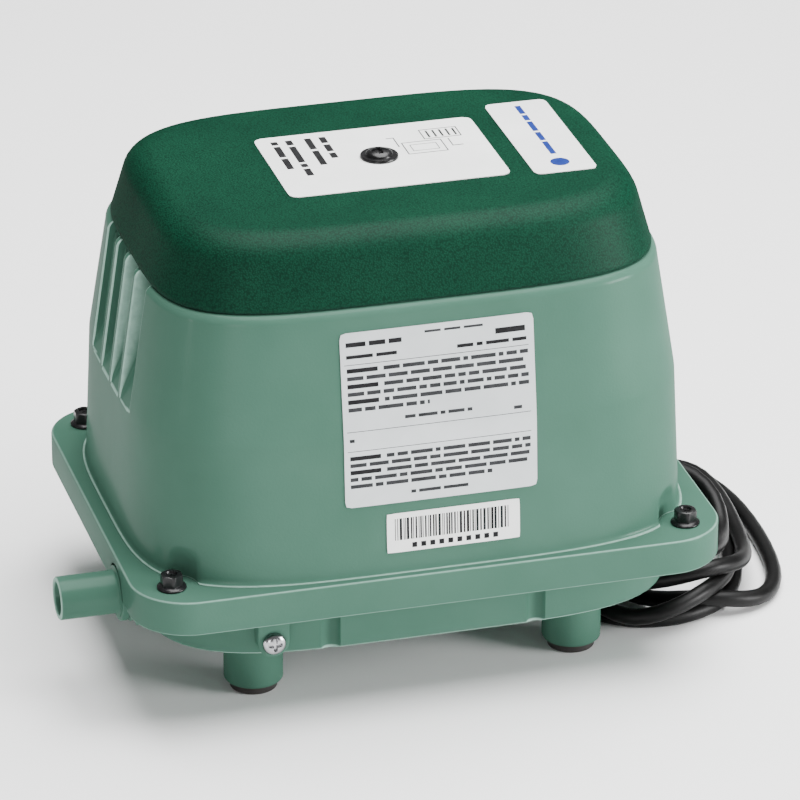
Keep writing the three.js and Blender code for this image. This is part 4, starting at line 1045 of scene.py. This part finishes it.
def crossed_dome(radius, brim, dome, height, slot_depth, steps, rings):
    """A domed screw head whose top is pressed in by a cross recess, from its brim edge to its middle."""
    rim = circle_of(radius, steps)
    rows = [np.zeros((steps, 3)), at_height(rim, 0), at_height(rim, brim * 0.75)]
    for ring in range(rings + 1):
        size = (radius - 0.25) * (1 - ring / rings)
        x, y = circle_of(size, steps).T
        z = brim if size > dome else brim + (height - brim) * math.sqrt(max(1 - (size / dome) ** 2, 0))
        arm = np.minimum(np.abs(x), np.abs(y))
        reach = np.maximum(np.abs(x), np.abs(y))
        sunk = np.clip((0.85 - arm) / 0.3, 0, 1) * np.clip((dome * 0.62 - reach) / 0.5, 0, 1)
        rows.append(np.column_stack((x, y, z - slot_depth * sunk)))
    return np.vstack(rows), grid_faces(len(rows), steps)


def make_cover_screw():
    seat = COVER_TOP + 0.55
    head, faces = crossed_dome(8.3, 1.2, 6.0, 3.6, 1.6, 96, 40)
    shells = Shells().take(head + np.array((0, 0, seat)), faces)
    shells.take(*lathe([(0, DECK_TOP + 3), (2.0, DECK_TOP + 3), (2.5, DECK_TOP + 3.6), (2.5, seat + 0.4),
                        (0, seat + 0.4)], steps=32))
    return settled_piece("cover_thumb_screw", shells, "cover_screw", "black_steel", "cover_screw", sharp=50)


def make_ground_screw():
    face_y = -TUB_HALF[1] - PAD_STANDOUT - 0.3
    head, faces = crossed_dome(5.1, 0.6, 5.0, 3.0, 1.3, 80, 34)
    stood = np.column_stack((head[:, 0], -head[:, 2], head[:, 1])) + np.array((GROUND_X, face_y, GROUND_Z))
    shells = Shells().take(stood, faces)
    shank = [(0, face_y - 0.2), (2, face_y - 0.2), (2, face_y + 7), (0, face_y + 7)]
    shells.take(*lathe(shank, (GROUND_X, 0, GROUND_Z), "Y", 24))
    return settled_piece("ground_terminal_screw", shells, "housing", "chrome_steel", "ground_screw", sharp=50)


make_flange_bolts()
make_cover_screw()
make_ground_screw()


# ---------------------------------------------------------------- filter cover
def cover_rows():
    """The cover's skin from its rim up its leaning side and over to the flat top."""
    arc_base = COVER_TOP - COVER_ROUND * (1 - math.sin(COVER_LEAN))
    side_inset = (arc_base - COVER_BOTTOM) * math.tan(COVER_LEAN)
    rows = [(0.9, COVER_BOTTOM), (0.25, COVER_BOTTOM + 0.2), (0.2, COVER_BOTTOM + 0.8)]
    for share in np.linspace(0.1, 1, 7):
        rows.append((side_inset * share, COVER_BOTTOM + (arc_base - COVER_BOTTOM) * share))
    for turn in np.linspace(COVER_LEAN, math.pi / 2, 16)[1:]:
        rows.append((side_inset + COVER_ROUND * (math.cos(COVER_LEAN) - math.cos(turn)),
                     COVER_TOP - COVER_ROUND + COVER_ROUND * math.sin(turn)))
    return rows


def make_cover():
    turns = even_turns(240)

    def ring_at(inset, height):
        return at_height(soft_ring((COVER_RIM[0] - inset, COVER_RIM[1] - inset), turns), height)

    def round_at(radius, height):
        ring = soft_ring((1, 1), turns)
        return at_height(ring / np.linalg.norm(ring, axis=1)[:, None] * radius, height)

    skin = cover_rows()
    rings = [ring_at(inset, height) for inset, height in skin]
    last, centre = rings[-1], round_at(8.2, COVER_TOP)
    rings += [last + (centre - last) * share for share in (0.25, 0.5, 0.75, 0.92)]
    for radius, depth in ((8.2, 0), (7.0, 0), (6.8, 0.3), (6.7, 1.4), (2.8, 1.4), (2.8, 10.5), (6.5, 10.5), (6.5, 3)):
        rings.append(round_at(radius, COVER_TOP - depth))
    rings += [ring_at(inset + COVER_WALL, min(height, COVER_TOP - COVER_WALL)) for inset, height in skin[::-1]]
    rings.append(ring_at(COVER_WALL, COVER_BOTTOM))
    shells = Shells().take(np.vstack(rings), grid_faces(len(rings), len(turns), True))
    return settled_piece("filter_cover_moulding", shells, "cover", "cover_plastic", "filter_cover", sharp=45)


make_cover()


# ---------------------------------------------------------------- labels
def squared_off(u, v, half, corner):
    """Takes a point of a square grid to a rectangle with round corners."""
    x, y = u * half[0], v * half[1]
    over = np.array((abs(x) - (half[0] - corner), abs(y) - (half[1] - corner)))
    if over.min() > 0:
        size = np.linalg.norm(over)
        over = over * over.max() / size
        x = math.copysign(half[0] - corner + over[0], x)
        y = math.copysign(half[1] - corner + over[1], y)
    return x, y


def on_front(x, z, lift):
    """A point of the front wall, standing off it by a lift."""
    half_x, half_y = wall_half(z)
    return (x, -float(half_y + lift) * (1 - (abs(x) / float(half_x)) ** SQUARENESS) ** (1 / SQUARENESS), z)


def on_top(x, y, lift):
    return (x, y, COVER_TOP + lift)


def film(shells, spot, centre, half, corner, low, high, tone, cells):
    """A thin film that follows a surface, with its edge closed."""
    nu, nv = cells
    sheet = []
    for lift in (high, low):
        for j in range(nv + 1):
            for i in range(nu + 1):
                u, v = squared_off(2 * i / nu - 1, 2 * j / nv - 1, half, corner)
                sheet.append(spot(centre[0] + u, centre[1] + v, lift))
    layer = (nu + 1) * (nv + 1)
    faces = []
    for j in range(nv):
        for i in range(nu):
            a = j * (nu + 1) + i
            faces.append((a, a + 1, a + nu + 2, a + nu + 1))
            faces.append((layer + a + nu + 1, layer + a + nu + 2, layer + a + 1, layer + a))
    edge = list(range(nu + 1)) + [(j + 1) * (nu + 1) - 1 for j in range(1, nv + 1)]
    edge += [nv * (nu + 1) + i for i in range(nu - 1, -1, -1)] + [j * (nu + 1) for j in range(nv - 1, 0, -1)]
    for a, b in zip(edge, edge[1:] + edge[:1]):
        faces.append((a, layer + a, layer + b, b))
    shells.take(sheet, faces, tone)


def mark(shells, spot, x0, x1, y0, y1, lift, tone):
    """A flat printed bar that follows the label under it."""
    cells = (max(1, math.ceil((x1 - x0) / 6)), max(1, math.ceil((y1 - y0) / 6)))
    film(shells, spot, ((x0 + x1) / 2, (y0 + y1) / 2), ((x1 - x0) / 2, (y1 - y0) / 2), 0, lift - 0.05, lift, tone,
         cells)


def word_runs(start, stop, seed, letter=1.25):
    """Lengths like the words of a line: (from, to) pairs between two ends."""
    dice = random.Random(seed)
    runs, at = [], start
    while at < stop - letter:
        size = min(dice.randint(2, 9) * letter, stop - at)
        runs.append((at, at + size - 0.35))
        at += size + letter * 0.75
    return runs


def word_line(shells, x0, x1, z, half_height, tone, letter=1.25):
    """A line of word-like bars on the rating plate."""
    for a, b in word_runs(x0, x1, int(z * 10), letter):
        mark(shells, on_front, a, b, z - half_height, z + half_height, PLATE_PRINT, tone)


def make_rating_plate():
    """A silver plate with generic rows of bars in place of any wording."""
    shells = Shells()
    film(shells, on_front, (1.5, 138.75), (42.5, 38.75), 2, LABEL_UNDER, PLATE_FACE, 0, (30, 26))
    left, right = -38.5, 41.5
    for line in ((left, -12, 172.3, 1.0, 1), (-4, 22, 174.6, 0.5, 2), (27, 41, 171.2, 1.2, 1),
                 (left, -16, 167.0, 0.75, 1), (10, 41, 166.6, 0.75, 1)):
        word_line(shells, *line, 1.5)
    for z in (163.6, 134.4, 125.6):
        mark(shells, on_front, left - 1, right, z - 0.12, z + 0.12, PLATE_PRINT, 1)
    rows = [(161.0, 1, 1), (157.6, 0, 1), (154.2, 1, 1), (150.8, 0, 1), (147.4, 1, 1), (144.0, 0, 0.45)]
    rows += [(122.4, 1, 1), (119.2, 0, 1), (116.0, 1, 1), (112.8, 0, 1), (109.6, 0, 0.8)]
    for z, bold, share in rows:
        start = left
        if bold:
            mark(shells, on_front, left, left + 13.5, z - 0.95, z + 0.95, PLATE_PRINT, 1)
            start = left + 16
        word_line(shells, start, left + (right - left) * share, z, 0.85, 2)
    for x0, x1, z in ((-14, 16, 138.6), (left, left + 2.5, 130.5), (34, 38, 136.9), (-12, 14, 104.5)):
        word_line(shells, x0, x1, z, 0.72, 2)
    return settled_piece("rating_plate_blank", shells, "housing", "silver_plate", "rating_plate",
                         inks=(PRINT_INK, SOFT_INK), sharp=30)


def make_barcode_label():
    """A paper label with a strip of plain upright bars over a row of blocks."""
    shells = Shells()
    film(shells, on_front, (6.5, 86), (29.5, 9), 0.6, LABEL_UNDER, LABEL_FACE, 0, (16, 6))
    dice = random.Random(4)
    at = -19.5
    while at < 31.5:
        wide = dice.choice((0.35, 0.35, 0.7, 1.05))
        mark(shells, on_front, at, at + wide, 82.6, 92.6, PRINT_FACE, 1)
        at += wide + dice.choice((0.35, 0.7, 0.7))
    for step in range(10):
        mark(shells, on_front, -12 + step * 4.0, -12 + step * 4.0 + 2.2, 78.6, 80.9, PRINT_FACE, 1)
    return settled_piece("barcode_label_blank", shells, "housing", "label_white", "barcode_label",
                         inks=[PRINT_INK], sharp=30)


def frame_marks(shells, x0, x1, y0, y1, thick=0.5):
    """Four thin bars round a rectangle on the service label."""
    inner = (y0 + thick, y1 - thick)
    for bar in ((x0, x1, y0, inner[0]), (x0, x1, inner[1], y1), (x0, x0 + thick, *inner), (x1 - thick, x1, *inner)):
        mark(shells, on_top, *bar, PRINT_FACE, 1)


def make_service_label():
    """The service label on top: four rows of bars and a plain line figure of cover and filter."""
    shells = Shells()
    film(shells, on_top, (1, 0), (49, 33), 4, LABEL_UNDER, LABEL_FACE, 0, (28, 24))
    for x, y0, y1 in ((-40, -3, 28), (-33.5, -12, 28), (-25, -2, 28), (-18.5, 4, 28)):
        for a, b in word_runs(y0, y1, int(-x * 10), 2.0):
            mark(shells, on_top, x - 1.5, x + 1.5, a, b, PRINT_FACE, 1)
    frame_marks(shells, 13, 31, -1, 12)
    frame_marks(shells, 16, 28, 2, 9, 0.35)
    frame_marks(shells, 24, 41, 13.5, 24)
    for step in range(5):
        mark(shells, on_top, 26.5 + step * 3, 27.4 + step * 3, 15, 22.4, PRINT_FACE, 1)
    for bar in ((8, 11.5, 18, 18.6), (11, 11.5, 8, 18), (34, 34.5, 4, 12), (34, 39, 3.5, 4.1)):
        mark(shells, on_top, *bar, PRINT_FACE, 1)
    return settled_piece("service_label_blank", shells, "cover", "label_white", "service_label",
                         inks=[PRINT_INK], sharp=30)


def make_top_sticker():
    """A narrow sticker at the cover's end with a row of blue bars and a plain dot."""
    shells = Shells()
    film(shells, on_top, (73.5, 3.5), (14, 40.1), 3, LABEL_UNDER, LABEL_FACE, 0, (14, 26))
    for a, b in word_runs(-17, 39, 12, 1.6):
        mark(shells, on_top, 72.2, 74.8, a, b, PRINT_FACE, 1)
    low, high = COVER_TOP + PRINT_FACE - 0.05, COVER_TOP + PRINT_FACE
    shells.take(*lathe([(0, low), (4.2, low), (4.2, high), (0, high)], (73.5, -26, 0), "Z", 40), tone=1)
    return settled_piece("top_sticker_blank", shells, "cover", "label_white", "top_sticker",
                         inks=[BLUE_INK], sharp=30)


make_rating_plate()
make_barcode_label()
make_service_label()
make_top_sticker()


# ---------------------------------------------------------------- floor and light
def pale_floor():
    mesh = bpy.data.meshes.new("studio_floor")
    size = 6.0
    mesh.from_pydata([(-size, -size, 0), (size, -size, 0), (size, size, 0), (-size, size, 0)], [], [(0, 1, 2, 3)])
    floor = linked("studio_floor", mesh)
    material, tree, shader = new_material("pale_studio_floor", Roughness=0.75)
    feed(tree, shader, Base_Color=two_tone(tree, noise(tree, place_of(tree), 3), 0.86, 0.88))
    mesh.materials.append(material)


def soft_box(name, at, size, power):
    data = bpy.data.lights.new(name, "AREA")
    data.shape, data.size, data.size_y, data.energy = "RECTANGLE", size[0], size[1], power
    light = linked(name, data)
    light.location = at
    look_along(light, Vector(LIGHTS_AIM) - Vector(at))


def light_studio():
    world = bpy.data.worlds.new("studio_world")
    world.use_nodes = True
    sky = world.node_tree.nodes["Background"].inputs
    sky["Color"].default_value, sky["Strength"].default_value = (1, 1, 1, 1), 0.3
    bpy.context.scene.world = world
    soft_box("overhead_box", (0.3, 0.0, 1.6), (1.8, 1.5), 108)
    soft_box("right_box", (2.0, -1.3, 0.5), (0.9, 0.9), 92)
    soft_box("left_box", (-1.0, -2.0, 0.3), (0.5, 0.5), 8)
    soft_box("corner_strip", (-1.9, -0.55, 0.1), (0.1, 0.6), 5.0)


pale_floor()
light_studio()
